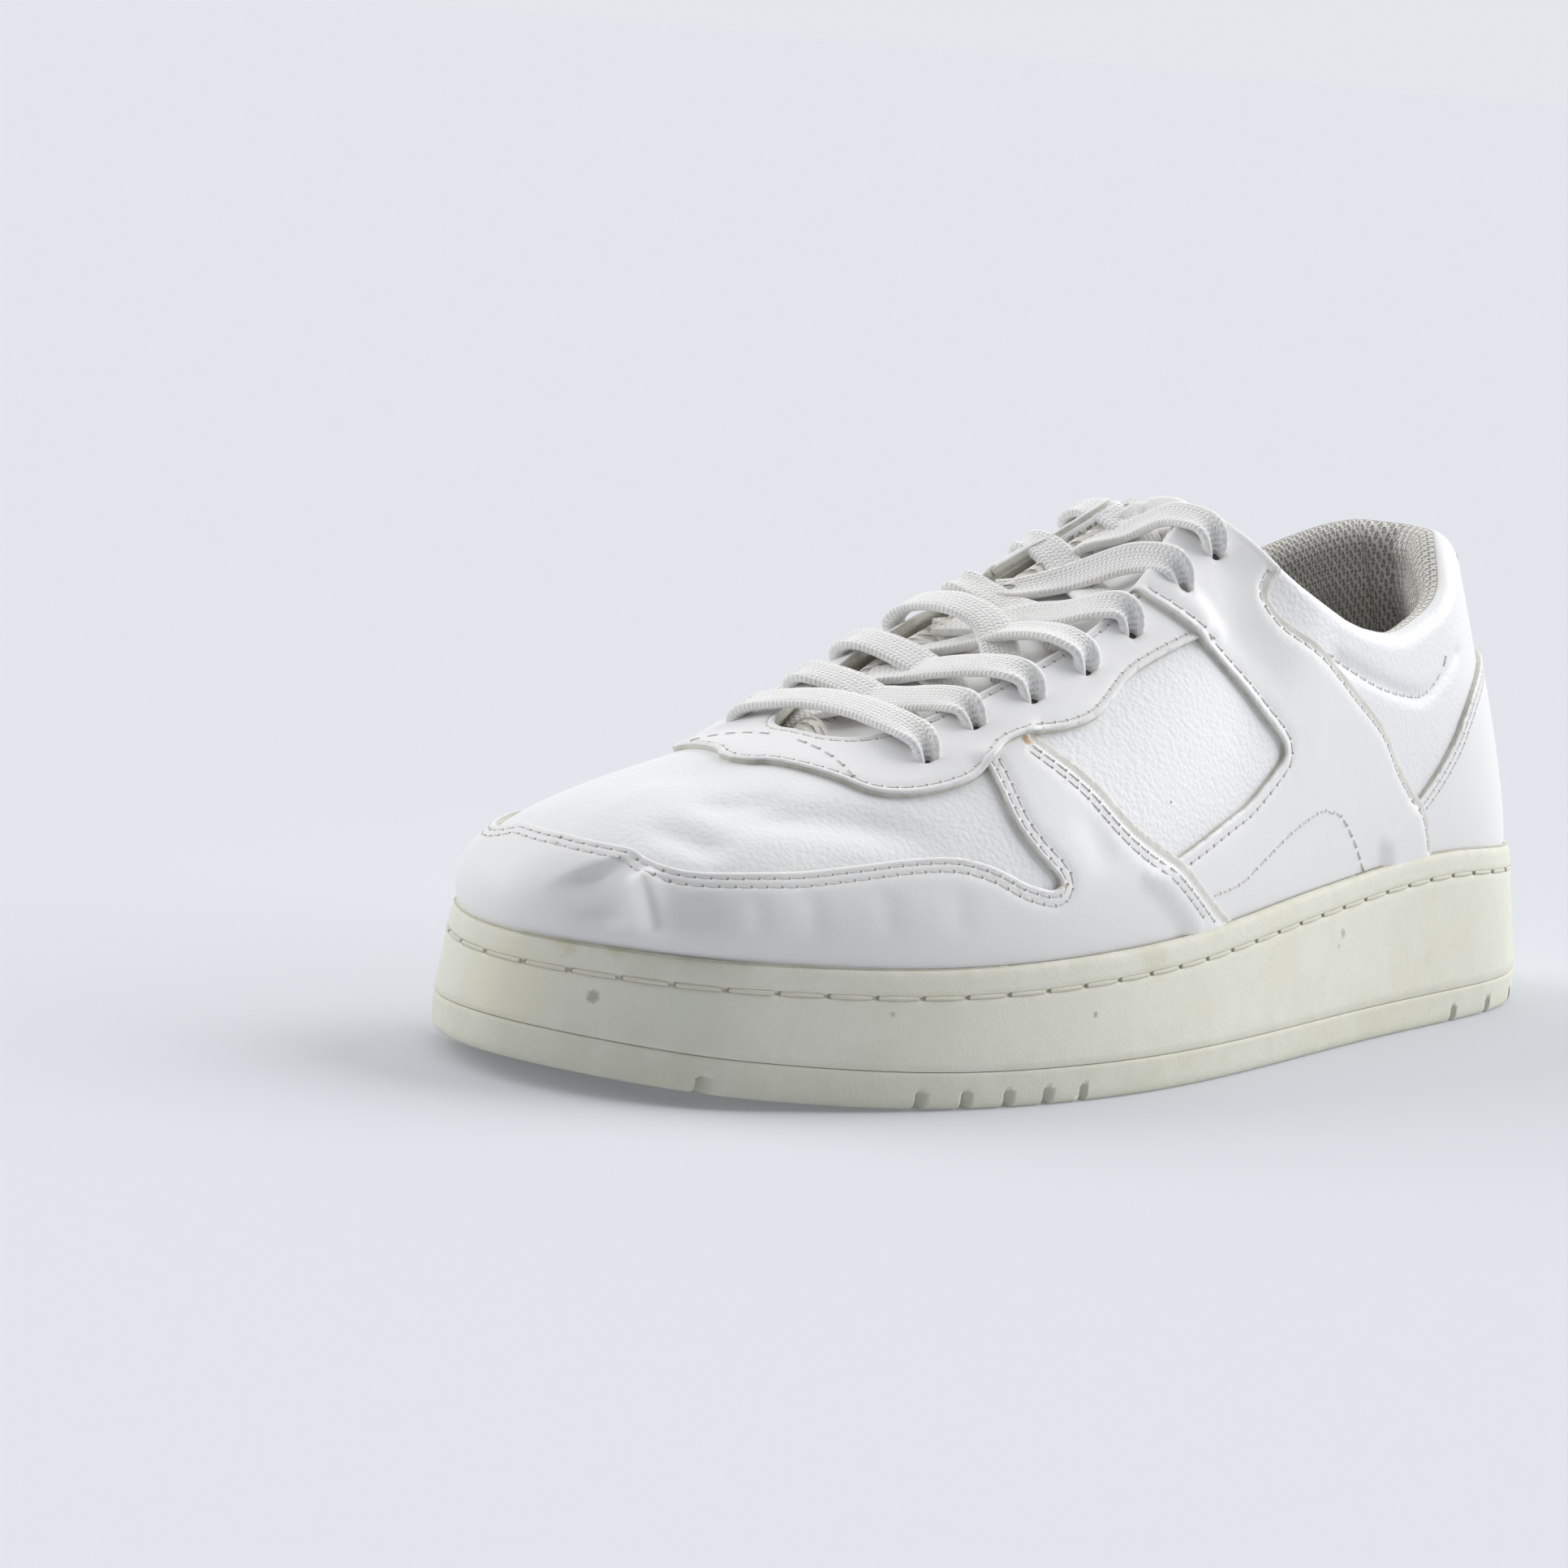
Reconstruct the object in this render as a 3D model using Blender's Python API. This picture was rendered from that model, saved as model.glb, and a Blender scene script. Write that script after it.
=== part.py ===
"""Worn low sneaker with a cup sole, left shoe, standing empty and unbent on its sole.

Run with: blender --background --python part.py

The toe points along +X, the outer (lateral) side along +Y, and the floor is at Z 0.
Every piece comes from one closed last form. A place on it is named by two numbers:
  station  0 at the heel back, 1 at the toe tip, along the edge of the sole
  rise     0 at the lip of the cup sole, 1 at the centre line over the foot
Sizes are millimetres here and become metres when a mesh is made.
"""
import math

import bmesh
import bpy
import numpy as np
from mathutils import Vector
from mathutils.geometry import delaunay_2d_cdt

MM = 0.001

# Driving sizes
LENGTH = 300.0
BALL_WIDTH = 113.5
INSTEP_HEIGHT = 95.0
WALL = 2.0
GAP = 0.35

# The tables below are for a shoe of these sizes, and the last scales them to the driving sizes
TABLE_LENGTH = 300.0
TABLE_BALL_WIDTH = 113.5
TABLE_INSTEP_HEIGHT = 95.0
TABLE_MIDDLE = 1.446

# Sole heights
TREAD_HEIGHT = 7.0
TOE_SPRING = 4.5
TOE_SPRING_START = 72.0
HEEL_BEVEL = 1.5
HEEL_BEVEL_START = -132.0
FLOOR_OF_CUP = 13.7
LIP_STATIONS = (-150.0, -90.0, -30.0, 30.0, 90.0, 150.0)
LIP_HEIGHTS = (33.7, 36.8, 33.5, 28.8, 26.6, 28.1)

# Tread grooves, along the shoe, which show as notches in the sole's edge
GROOVE_WIDTH = 2.4
GROOVE_DEPTH = 3.6
FOREFOOT_GROOVES = (56.0, 65.7, 75.4, 85.1, 94.8, 132.5)
HEEL_GROOVES = (-92.0, -108.5, -124.5, -139.0)

# Sections of the last, one column for each station
STATION = (0.00, 0.06, 0.13, 0.22, 0.32, 0.42, 0.52, 0.62, 0.71, 0.79, 0.86, 0.93, 1.00)
LATERAL_EDGE = ((-150, 0), (-143, 19), (-125, 34), (-97, 41), (-62, 45.2), (-27, 50.6), (8, 56),
                (42, 58.2), (73, 55), (100, 47), (121, 36.5), (138, 22), (150, -10))
MEDIAL_EDGE = ((-150, 0), (-144, -18), (-127, -32.5), (-99, -37.6), (-64, -36.2), (-30, -37.2),
               (5, -43), (40, -50.9), (73, -55.2), (100, -53.8), (121, -48.6), (138, -38),
               (150, -10))
EDGE_TO_UPPER = (6.5, 6.5, 6.5, 6.5, 6.5, 6.5, 6.4, 6.2, 5.8, 5.3, 4.8, 4.6, 4.5)
CROWN_X = (-108, -101, -89, -75, -60, -45, -20, 12, 44, 72, 92, 108, 113)
CROWN_Y = (0, 0, 0, 0, 1, 2, 3, 3, 3, 2, 0, -3, -5)
CROWN_Z = (128, 129, 130, 131, 130, 124, 110, 95, 80.5, 67, 61, 56, 55)
CROWN_HALF = (0, 12, 18, 24, 25, 17, 0, 0, 0, 0, 0, 0, 0)
FOOT_OUT = (8, -1, -4, 4, 8, 8, 8, 10, 12, 11, 11, 20, 9)
FOOT_UP = (60, 60, 63, 70, 82, 94, 90, 79, 66, 52, 46, 43, 40)
CROWN_BACK = (30, 22, 13, 5, 0, -4, -6, -8, -8, -8, -14, -28, -44)
CROWN_IN = (0, 8, 12, 14, 22, 44, 66, 66, 70, 72, 71, 48, 0)
CROWN_UP = (50, 50, 50, 48, 42, 24, 2, 5, 6, 4, 4, 5, 8)

# Top edge of the upper as a rise for each station: collar, then the side of the throat
TOP_STATION = (0.0, 0.04, 0.08, 0.13, 0.18, 0.24, 0.30, 0.34, 0.375, 0.405, 0.435, 0.457, 0.475,
               0.49, 0.502, 0.514, 0.527, 0.55, 0.595, 0.64, 0.69, 0.73, 0.77, 0.795, 0.82, 1.0)
TOP_RISE = (0.670, 0.665, 0.645, 0.605, 0.555, 0.500, 0.468, 0.477, 0.497, 0.529, 0.575, 0.628,
            0.692, 0.755, 0.812, 0.852, 0.868, 0.835, 0.778, 0.748, 0.762, 0.785, 0.820, 0.860,
            0.890, 0.890)
THROAT_FRONT = 0.815

# Mesh columns, shared by every ring round the shoe
COLUMNS = (0.0, 0.022, 0.046, 0.072, 0.102, 0.135, 0.17, 0.21, 0.25, 0.29, 0.33, 0.37, 0.405,
           0.435, 0.458, 0.478, 0.497, 0.514, 0.53, 0.555, 0.585, 0.615, 0.65, 0.685, 0.72, 0.755,
           0.787, THROAT_FRONT, 0.845, 0.873, 0.90, 0.925, 0.947, 0.967, 0.984, 1.0)

# Eyelets, on each side, as station and rise
EYELETS = ((0.767, 0.662), (0.730, 0.682), (0.687, 0.658), (0.643, 0.649), (0.600, 0.667),
           (0.549, 0.687), (0.512, 0.717))
LACE_WIDTH = 8.0
LACE_THICKNESS = 2.2

# Overlays lie on the upper between these two heights
OVERLAY_FOOT = 0.42
OVERLAY_TOP = 1.6
OVERLAY_STEP = 7.2

# The worn tongue and the lace on it have sunk between the throat's edges by these depths
SUNK_STATION = (0.50, 0.53, 0.57, 0.62, 0.67, 0.72, 0.78, 0.85)
SUNK_DEPTH = (0.0, 3.2, 5.8, 6.2, 4.6, 3.4, 2.4, 0.4)


def natural(values):
    """Return the values as an array of floats, one row for each knot."""
    table = np.asarray(values, float)
    return table[:, None] if table.ndim == 1 else table


def closed_spline(knots, values):
    """Return a smooth function through values at knots, closed over the span 0 to 1."""
    x = np.asarray(knots, float)
    y = natural(values)
    n = len(x)
    step = np.diff(np.append(x, x[0] + 1.0))
    slope = (np.roll(y, -1, axis=0) - y) / step[:, None]
    system = np.zeros((n, n))
    for i in range(n):
        before = step[i - 1]
        after = step[i]
        system[i, i - 1] += after
        system[i, i] += 2.0 * (before + after)
        system[i, (i + 1) % n] += before
    right = np.array([3.0 * (step[i] * slope[i - 1] + step[i - 1] * slope[i]) for i in range(n)])
    tangent = np.linalg.solve(system, right)

    def at(where):
        u = np.mod(np.asarray(where, float), 1.0)
        i = np.searchsorted(x, u, side="right") - 1
        k = (i + 1) % n
        h = step[i][..., None]
        f = ((u - x[i]) / step[i])[..., None]
        return ((2 * f**3 - 3 * f**2 + 1) * y[i] + (f**3 - 2 * f**2 + f) * h * tangent[i]
                + (3 * f**2 - 2 * f**3) * y[k] + (f**3 - f**2) * h * tangent[k])

    return at


def steady_curve(knots, values):
    """Return a smooth function through values at knots that never overshoots them."""
    x = np.asarray(knots, float)
    y = np.asarray(values, float)
    step = np.diff(x)
    slope = np.diff(y) / step
    tangent = np.zeros(len(x))
    for i in range(1, len(x) - 1):
        if slope[i - 1] * slope[i] > 0:
            w1 = 2 * step[i] + step[i - 1]
            w2 = step[i] + 2 * step[i - 1]
            tangent[i] = (w1 + w2) / (w1 / slope[i - 1] + w2 / slope[i])

    def at(where):
        u = np.clip(np.asarray(where, float), x[0], x[-1])
        i = np.clip(np.searchsorted(x, u, side="right") - 1, 0, len(step) - 1)
        f = (u - x[i]) / step[i]
        return ((2 * f**3 - 3 * f**2 + 1) * y[i] + (f**3 - 2 * f**2 + f) * step[i] * tangent[i]
                + (3 * f**2 - 2 * f**3) * y[i + 1] + (f**3 - f**2) * step[i] * tangent[i + 1])

    return at


def both_sides(lateral, medial):
    """Join a lateral and a medial table into one closed spline round the shoe."""
    half = np.asarray(STATION) / 2.0
    knots = np.append(half, 1.0 - half[::-1][1:-1])
    values = np.vstack([natural(lateral), natural(medial)[::-1][1:-1]])
    return closed_spline(knots, values)


class Last:
    """The closed form that the upper, its overlays, the tongue and the laces follow."""

    def __init__(self):
        long = LENGTH / TABLE_LENGTH
        wide = BALL_WIDTH / TABLE_BALL_WIDTH
        high = INSTEP_HEIGHT / TABLE_INSTEP_HEIGHT

        def edge(table):
            return (natural(table) - (0.0, TABLE_MIDDLE)) * (long, wide)

        def same(table, scale):
            return both_sides(natural(table) * scale, natural(table) * scale)

        self.edge = both_sides(edge(LATERAL_EDGE), edge(MEDIAL_EDGE))
        self.lip = steady_curve(np.multiply(LIP_STATIONS, long), LIP_HEIGHTS)
        self.crown_x = same(CROWN_X, long)
        self.crown_y = same(np.subtract(CROWN_Y, TABLE_MIDDLE), wide)
        self.crown_z = same(CROWN_Z, high)
        self.foot_out = same(FOOT_OUT, wide)
        self.foot_up = same(FOOT_UP, high)
        self.crown_back = same(CROWN_BACK, long)
        self.crown_up = same(CROWN_UP, high)
        self.crown_half = steady_curve(STATION, np.multiply(CROWN_HALF, wide))
        self.crown_in = steady_curve(STATION, np.multiply(CROWN_IN, wide))
        self.edge_to_upper = steady_curve(STATION, EDGE_TO_UPPER)
        self.top_edge = steady_curve(TOP_STATION, TOP_RISE)

    @staticmethod
    def station(w):
        """Station of a place w, which runs 0 to 1 once round the shoe."""
        return 1.0 - np.abs(2.0 * np.mod(w, 1.0) - 1.0)

    def outline(self, w, inset):
        """Return the plan place w, moved inwards by inset, and its outward direction."""
        w = np.asarray(w, float)
        place = self.edge(w)
        along = self.edge(w + 1e-4) - self.edge(w - 1e-4)
        along /= np.linalg.norm(along, axis=-1, keepdims=True)
        out = np.stack([-along[..., 1], along[..., 0]], -1)
        return place - out * np.asarray(inset, float)[..., None], out

    def point(self, w, v):
        """Place on the last at w round the shoe and rise v. Below rise 0 it goes straight down."""
        w, v = np.broadcast_arrays(np.asarray(w, float), np.asarray(v, float))
        station = self.station(w)
        side = np.where(np.mod(w, 1.0) <= 0.5, 1.0, -1.0)
        plan, out = self.outline(w, self.edge_to_upper(station))
        foot = np.stack([plan[..., 0], plan[..., 1], self.lip(plan[..., 0])], -1)
        crown = np.stack([self.crown_x(w)[..., 0],
                          self.crown_y(w)[..., 0] + side * self.crown_half(station),
                          self.crown_z(w)[..., 0]], -1)
        lean = self.foot_out(w)[..., 0]
        leave = np.stack([out[..., 0] * lean, out[..., 1] * lean, self.foot_up(w)[..., 0]], -1)
        arrive = np.stack([self.crown_back(w)[..., 0], -side * self.crown_in(station),
                           self.crown_up(w)[..., 0]], -1)
        f = np.clip(v, 0.0, 1.0)[..., None]
        place = ((2 * f**3 - 3 * f**2 + 1) * foot + (f**3 - 2 * f**2 + f) * leave
                 + (3 * f**2 - 2 * f**3) * crown + (f**3 - f**2) * arrive)
        place[..., 2] += np.minimum(v, 0.0) * 100.0
        return place

    def normal(self, w, v):
        """Outward direction of the last at w and v."""
        step = 1e-4
        v = np.minimum(v, 1.0 - step)
        round_shoe = self.point(w + step, v) - self.point(w - step, v)
        up = self.point(w, v + step) - self.point(w, v - step)
        out = np.cross(up, round_shoe)
        return out / np.linalg.norm(out, axis=-1, keepdims=True)

    def raised(self, w, v, height):
        """Place that stands height off the last at w and v, the same from both sides at rise 1."""
        w, v, height = np.broadcast_arrays(np.asarray(w, float), np.asarray(v, float),
                                           np.asarray(height, float))
        out = self.normal(w, v)
        centre = (v > 1.0 - 1e-6)[..., None]
        out = np.where(centre, out + self.normal(1.0 - w, v), out)
        out /= np.linalg.norm(out, axis=-1, keepdims=True)
        return self.point(w, v) + out * height[..., None]

    def across(self, t, g):
        """Turn a station t and a girth g, 0 lateral to 2 medial, into w and v."""
        t = np.asarray(t, float)
        g = np.asarray(g, float)
        return np.where(g <= 1.0, t / 2.0, 1.0 - t / 2.0), np.where(g <= 1.0, g, 2.0 - g)


LAST = Last()
ROUND = np.append(np.asarray(COLUMNS) / 2.0, 1.0 - np.asarray(COLUMNS)[::-1][1:-1] / 2.0)
COUNT = len(ROUND)
TOE = len(COLUMNS) - 1


def clear_scene():
    """Remove every object that the file starts with."""
    for item in list(bpy.data.objects):
        bpy.data.objects.remove(item, do_unlink=True)


def material(name, colour, roughness, metallic=0.0):
    """Make a plain Principled material."""
    made = bpy.data.materials.new(name)
    made.use_nodes = True
    shader = made.node_tree.nodes["Principled BSDF"]
    shader.inputs["Base Color"].default_value = (*colour, 1.0)
    shader.inputs["Roughness"].default_value = roughness
    shader.inputs["Metallic"].default_value = metallic
    return made


def add_solid(name, points, faces, finish, smooth=True):
    """Make a mesh object from points in millimetres and check that its faces point outwards."""
    mesh = bpy.data.meshes.new(name)
    mesh.from_pydata([tuple(float(c) * MM for c in p) for p in points], [], faces)
    form = bmesh.new()
    form.from_mesh(mesh)
    bmesh.ops.remove_doubles(form, verts=form.verts, dist=1e-7)
    bmesh.ops.triangulate(form, faces=form.faces[:])
    bmesh.ops.recalc_face_normals(form, faces=form.faces)
    if form.calc_volume(signed=True) < 0:
        bmesh.ops.reverse_faces(form, faces=form.faces)
    form.to_mesh(mesh)
    form.free()
    for face in mesh.polygons:
        face.use_smooth = smooth
    mesh.materials.append(finish)
    item = bpy.data.objects.new(name, mesh)
    bpy.context.scene.collection.objects.link(item)
    return item


def boolean(item, cutter, operation):
    """Give item a Boolean with a hidden cutter."""
    cutter.hide_render = True
    cutter.display_type = "WIRE"
    step = item.modifiers.new(operation.lower() + " " + cutter.name, "BOOLEAN")
    step.operation = operation
    step.object = cutter
    step.solver = "EXACT"


class Rings:
    """A closed solid made of rings round the shoe, with flat ends between its two sides."""

    def __init__(self):
        self.points = []
        self.faces = []
        self.last = None

    def ring(self, inset, height):
        """Add one ring. Inset and height are arrays or numbers, one for each column."""
        plan, _ = LAST.outline(ROUND, np.broadcast_to(inset, (COUNT,)))
        z = np.broadcast_to(height, (COUNT,))
        start = len(self.points)
        self.points += [(plan[j, 0], plan[j, 1], z[j]) for j in range(COUNT)]
        if self.last is None:
            self.cap(start)
        else:
            for j in range(COUNT):
                k = (j + 1) % COUNT
                self.faces.append((self.last + j, self.last + k, start + k, start + j))
        self.last = start

    def cap(self, start):
        """Close a ring with strips from its lateral to its medial side."""
        for j in range(TOE):
            corners = [start + j, start + j + 1, start + (COUNT - j - 1) % COUNT,
                       start + (COUNT - j) % COUNT]
            self.faces.append(tuple(dict.fromkeys(corners)))

    def finish(self, name, look):
        """Close the last ring and make the object."""
        self.cap(self.last)
        return add_solid(name, self.points, self.faces, look)


def ground(w, inset):
    """Height of the sole's underside, raised at the toe and a little at the heel."""
    x = LAST.outline(w, np.broadcast_to(inset, np.shape(w)))[0][..., 0]
    toe = np.clip((x - TOE_SPRING_START) / (LENGTH / 2 - TOE_SPRING_START), 0, None)
    heel = np.clip((HEEL_BEVEL_START - x) / (LENGTH / 2 + HEEL_BEVEL_START), 0, None)
    return TOE_SPRING * toe**2 + HEEL_BEVEL * heel


def make_outsole(look):
    """Tread layer with its side band and the grooves that part its lugs."""
    sole = Rings()
    for inset, rise in ((1.4, 0.0), (0.3, 1.0), (0.0, 3.0), (0.0, TREAD_HEIGHT - 0.8),
                        (0.7, TREAD_HEIGHT)):
        sole.ring(inset, ground(ROUND, 0.0) + rise)
    item = sole.finish("outsole", look)
    for i, x in enumerate(FOREFOOT_GROOVES + HEEL_GROOVES):
        low = -5.0
        high = GROOVE_DEPTH + float(groove_floor(x))
        corners = [(x + a * GROOVE_WIDTH / 2, b * BALL_WIDTH, low if c < 0 else high)
                   for a in (-1, 1) for b in (-1, 1) for c in (-1, 1)]
        faces = [(0, 1, 3, 2), (4, 6, 7, 5), (0, 4, 5, 1), (2, 3, 7, 6), (0, 2, 6, 4), (1, 5, 7, 3)]
        cutter = add_solid(f"groove_cutter_{i + 1}", corners, faces, look, smooth=False)
        boolean(item, cutter, "DIFFERENCE")
    return item


def groove_floor(x):
    """Height of the sole's underside at a place along the shoe."""
    toe = max(0.0, (x - TOE_SPRING_START) / (LENGTH / 2 - TOE_SPRING_START))
    return TOE_SPRING * toe**2


def make_cup(look):
    """Midsole with its side wall, stitched channel, lip and the recess that holds the upper."""
    station = LAST.station(ROUND)
    lip_inset = 4.2 - 2.0 * station
    to_upper = LAST.edge_to_upper(station)
    plan, _ = LAST.outline(ROUND, lip_inset)
    lip = LAST.lip(plan[:, 0])
    foot = ground(ROUND, 0.0) + TREAD_HEIGHT + 0.3
    cup = Rings()
    cup.ring(0.7, foot)
    cup.ring(0.1, foot + 0.9)

    def wall(height):
        share = (height - foot) / (lip - foot)
        return lip_inset * share

    cup.ring(wall(lip - 7.0), lip - 7.0)
    cup.ring(wall(lip - 6.2) + 0.9, lip - 6.2)
    cup.ring(wall(lip - 5.2) + 0.9, lip - 5.2)
    cup.ring(wall(lip - 4.4), lip - 4.4)
    cup.ring(lip_inset, lip - 0.8)
    cup.ring(lip_inset + 0.8, lip)
    cup.ring(to_upper - GAP, lip)
    cup.ring(to_upper - GAP, FLOOR_OF_CUP)
    return cup.finish("cup_sole", look)


def make_insole(look):
    """Footbed inside the upper, a little raised under the arch and round its edge."""
    inset = LAST.edge_to_upper(LAST.station(ROUND)) + WALL + 2.0
    bed = Rings()
    bed.ring(inset, FLOOR_OF_CUP + 0.3)
    bed.ring(inset, FLOOR_OF_CUP + 4.6)
    bed.ring(inset + 6.0, FLOOR_OF_CUP + 4.2)
    return bed.finish("insole", look)


def slab(name, outer, inner, look):
    """Closed solid between two grids of points, given as rows by columns by 3."""
    rows, columns = outer.shape[:2]
    points = np.concatenate([outer.reshape(-1, 3), inner.reshape(-1, 3)])
    under = rows * columns

    def at(i, j):
        return i * columns + j

    faces = []
    for i in range(rows - 1):
        for j in range(columns - 1):
            quad = (at(i, j), at(i, j + 1), at(i + 1, j + 1), at(i + 1, j))
            faces.append(quad)
            faces.append(tuple(under + q for q in reversed(quad)))
    border = [(0, j) for j in range(columns)] + [(i, columns - 1) for i in range(1, rows)]
    border += [(rows - 1, j) for j in range(columns - 2, -1, -1)]
    border += [(i, 0) for i in range(rows - 2, 0, -1)]
    for (a, b), (c, d) in zip(border, border[1:] + border[:1]):
        faces.append((at(a, b), under + at(a, b), under + at(c, d), at(c, d)))
    return add_solid(name, points, faces, look)


def make_upper(look):
    """The hollow upper: one wall from the cup to the collar and throat, closed over the toes."""
    rows = 9
    crown_rows = 2
    station = LAST.station(ROUND)
    top = LAST.top_edge(station)
    levels = [np.full(COUNT, (FLOOR_OF_CUP + 0.3 - 30.0) / 100.0)]
    levels += [top * i / rows for i in range(rows + 1)]
    levels += [top + (1.0 - top) * (i + 1) / crown_rows for i in range(crown_rows)]
    rim = rows + 1
    centre = rim + crown_rows
    front = COLUMNS.index(THROAT_FRONT)
    points = []
    number = {}

    def grid(height):
        base = {}
        for i, level in enumerate(levels):
            place = LAST.raised(ROUND, level, height)
            if i == 0:
                place[:, 2] = FLOOR_OF_CUP + 0.3
            for j in range(COUNT):
                if i > rim and min(j, COUNT - j) < front:
                    continue
                if i == centre and j > TOE:
                    base[i, j] = base[i, COUNT - j]
                    continue
                base[i, j] = len(points)
                points.append(place[j])
        return base

    number["outer"] = grid(0.0)
    number["inner"] = grid(-WALL)
    faces = []
    for side in ("outer", "inner"):
        ids = number[side]
        for i in range(centre):
            for j in range(COUNT):
                k = (j + 1) % COUNT
                corners = [(i, j), (i, k), (i + 1, k), (i + 1, j)]
                if any(c not in ids for c in corners):
                    continue
                quad = tuple(dict.fromkeys(ids[c] for c in corners))
                faces.append(quad if side == "outer" else tuple(reversed(quad)))
    # The rim goes forwards on the lateral side, over the throat's front and back to the heel.
    border = [(rim, j) for j in range(front + 1)]
    border += [(i, front) for i in range(rim + 1, centre + 1)]
    border += [(i, COUNT - front) for i in range(centre - 1, rim, -1)]
    border += [(rim, j) for j in range(COUNT - front, COUNT)]
    for a, b in zip(border, border[1:] + border[:1]):
        faces.append((number["outer"][a], number["inner"][a], number["inner"][b],
                      number["outer"][b]))
    for j in range(COUNT):
        a = (0, j)
        b = (0, (j + 1) % COUNT)
        faces.append((number["outer"][a], number["outer"][b], number["inner"][b],
                      number["inner"][a]))
    return add_solid("upper", points, faces, look)


def make_lining(look):
    """Padded collar lining, thick near the rim and thin towards the heel seat."""
    reach = [c for c in COLUMNS if c < 0.48]
    round_back = np.array([-c / 2 for c in reversed(reach)] + [c / 2 for c in reach[1:]])
    top = LAST.top_edge(LAST.station(round_back))
    shares = (0.04, 0.34, 0.60, 0.78, 0.91, 0.985)
    padding = (1.2, 1.4, 3.2, 5.4, 4.6, 2.2)
    outer = np.array([LAST.raised(round_back, top * s, -WALL - GAP) for s in shares])
    inner = np.array([LAST.raised(round_back, top * s, -WALL - GAP - p)
                      for s, p in zip(shares, padding)])
    return slab("collar_lining", outer, inner, look)


def run_through(points, step):
    """Points along a smooth run through the given ones, about step apart."""
    p = [np.asarray(q, float) for q in points]
    p = [2 * p[0] - p[1]] + p + [2 * p[-1] - p[-2]]
    made = []
    for a, b, c, d in zip(p, p[1:], p[2:], p[3:]):
        n = max(1, int(math.ceil(np.linalg.norm(c - b) / step)))
        for i in range(n):
            f = i / n
            made.append(0.5 * (2 * b + (c - a) * f + (2 * a - 5 * b + 4 * c - d) * f**2
                               + (3 * b - a - 3 * c + d) * f**3))
    made.append(p[-2])
    return made


def closed_outline(runs, step):
    """Join smooth runs into one closed outline with corners where they meet."""
    loop = []
    for run in runs:
        loop += run_through(run, step)[:-1] if len(run) > 2 else straight(run, step)
    return loop


def straight(run, step):
    """Points along a straight run, without its end."""
    a, b = (np.asarray(q, float) for q in run)
    n = max(1, int(math.ceil(np.linalg.norm(b - a) / step)))
    return [a + (b - a) * i / n for i in range(n)]


def inside(x, y, loop):
    """Say whether a point lies inside a loop."""
    hit = False
    for (ax, ay), (bx, by) in zip(loop, np.roll(loop, -1, axis=0)):
        if (ay > y) != (by > y) and x < (bx - ax) * (y - ay) / (by - ay) + ax:
            hit = not hit
    return hit


class Panel:
    """A piece of the upper's own surface, cut to an outline and given a thickness.

    Outlines are in millimetres on the flat pattern: along the sole's edge from the heel back,
    and up the side. PATTERN_LENGTH and PATTERN_GIRTH turn a station and a rise into them.
    """

    PATTERN_LENGTH = 345.0
    PATTERN_GIRTH = 90.0

    def __init__(self, runs, across=False, step=OVERLAY_STEP):
        scale = (self.PATTERN_LENGTH / 100.0, self.PATTERN_GIRTH / 100.0)
        flat = [[(a * scale[0], b * scale[1]) for a, b in run] for run in runs]
        self.across = across
        self.step = step
        self.loop = np.array(closed_outline(flat, step))

    def triangles(self):
        """Cut the outline into triangles and return its flat points and faces."""
        loop = self.loop
        low = loop.min(axis=0)
        high = loop.max(axis=0)
        points = [Vector(p) for p in loop]
        edges = [(i, (i + 1) % len(loop)) for i in range(len(loop))]
        rows = int((high[1] - low[1]) / (self.step * 0.87)) + 1
        for r in range(rows):
            y = low[1] + (r + 0.5) * self.step * 0.87
            shift = 0.25 if r % 2 else 0.75
            for c in range(int((high[0] - low[0]) / self.step) + 1):
                x = low[0] + (c + shift) * self.step
                far = np.min(np.hypot(loop[:, 0] - x, loop[:, 1] - y)) > self.step * 0.62
                if far and inside(x, y, loop):
                    points.append(Vector((x, y)))
        flat, _, faces, *_ = delaunay_2d_cdt(points, edges, [], 0, 1e-6)
        kept = []
        for face in faces:
            middle = sum((flat[i] for i in face), Vector((0, 0))) / len(face)
            if inside(middle.x, middle.y, loop):
                kept.append(tuple(face))
        return np.array([tuple(p) for p in flat]), kept

    def solid(self, name, low, high, look, sink=None):
        """Make the panel between two heights off the last, sunk by sink(station, girth)."""
        flat, faces = self.triangles()
        a = flat[:, 0] / self.PATTERN_LENGTH
        b = flat[:, 1] / self.PATTERN_GIRTH
        if sink is not None:
            low, high = low - sink(a, b), high - sink(a, b)
        if self.across:
            w, v = LAST.across(a, b)
        else:
            w, v = a / 2.0, b
        count = len(flat)
        points = np.concatenate([LAST.raised(w, v, high), LAST.raised(w, v, low)])
        solid_faces = [tuple(f) for f in faces]
        solid_faces += [tuple(count + i for i in reversed(f)) for f in faces]
        directed = {(f[i], f[(i + 1) % len(f)]) for f in faces for i in range(len(f))}
        for i, j in directed:
            if (j, i) not in directed:
                solid_faces.append((j, i, count + i, count + j))
        return add_solid(name, points, solid_faces, look)


def mirrored(run, middle):
    """A run of points mirrored to the other side of a middle station or girth, reversed."""
    return [(2 * middle - a, b) for a, b in reversed(run)]


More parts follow.
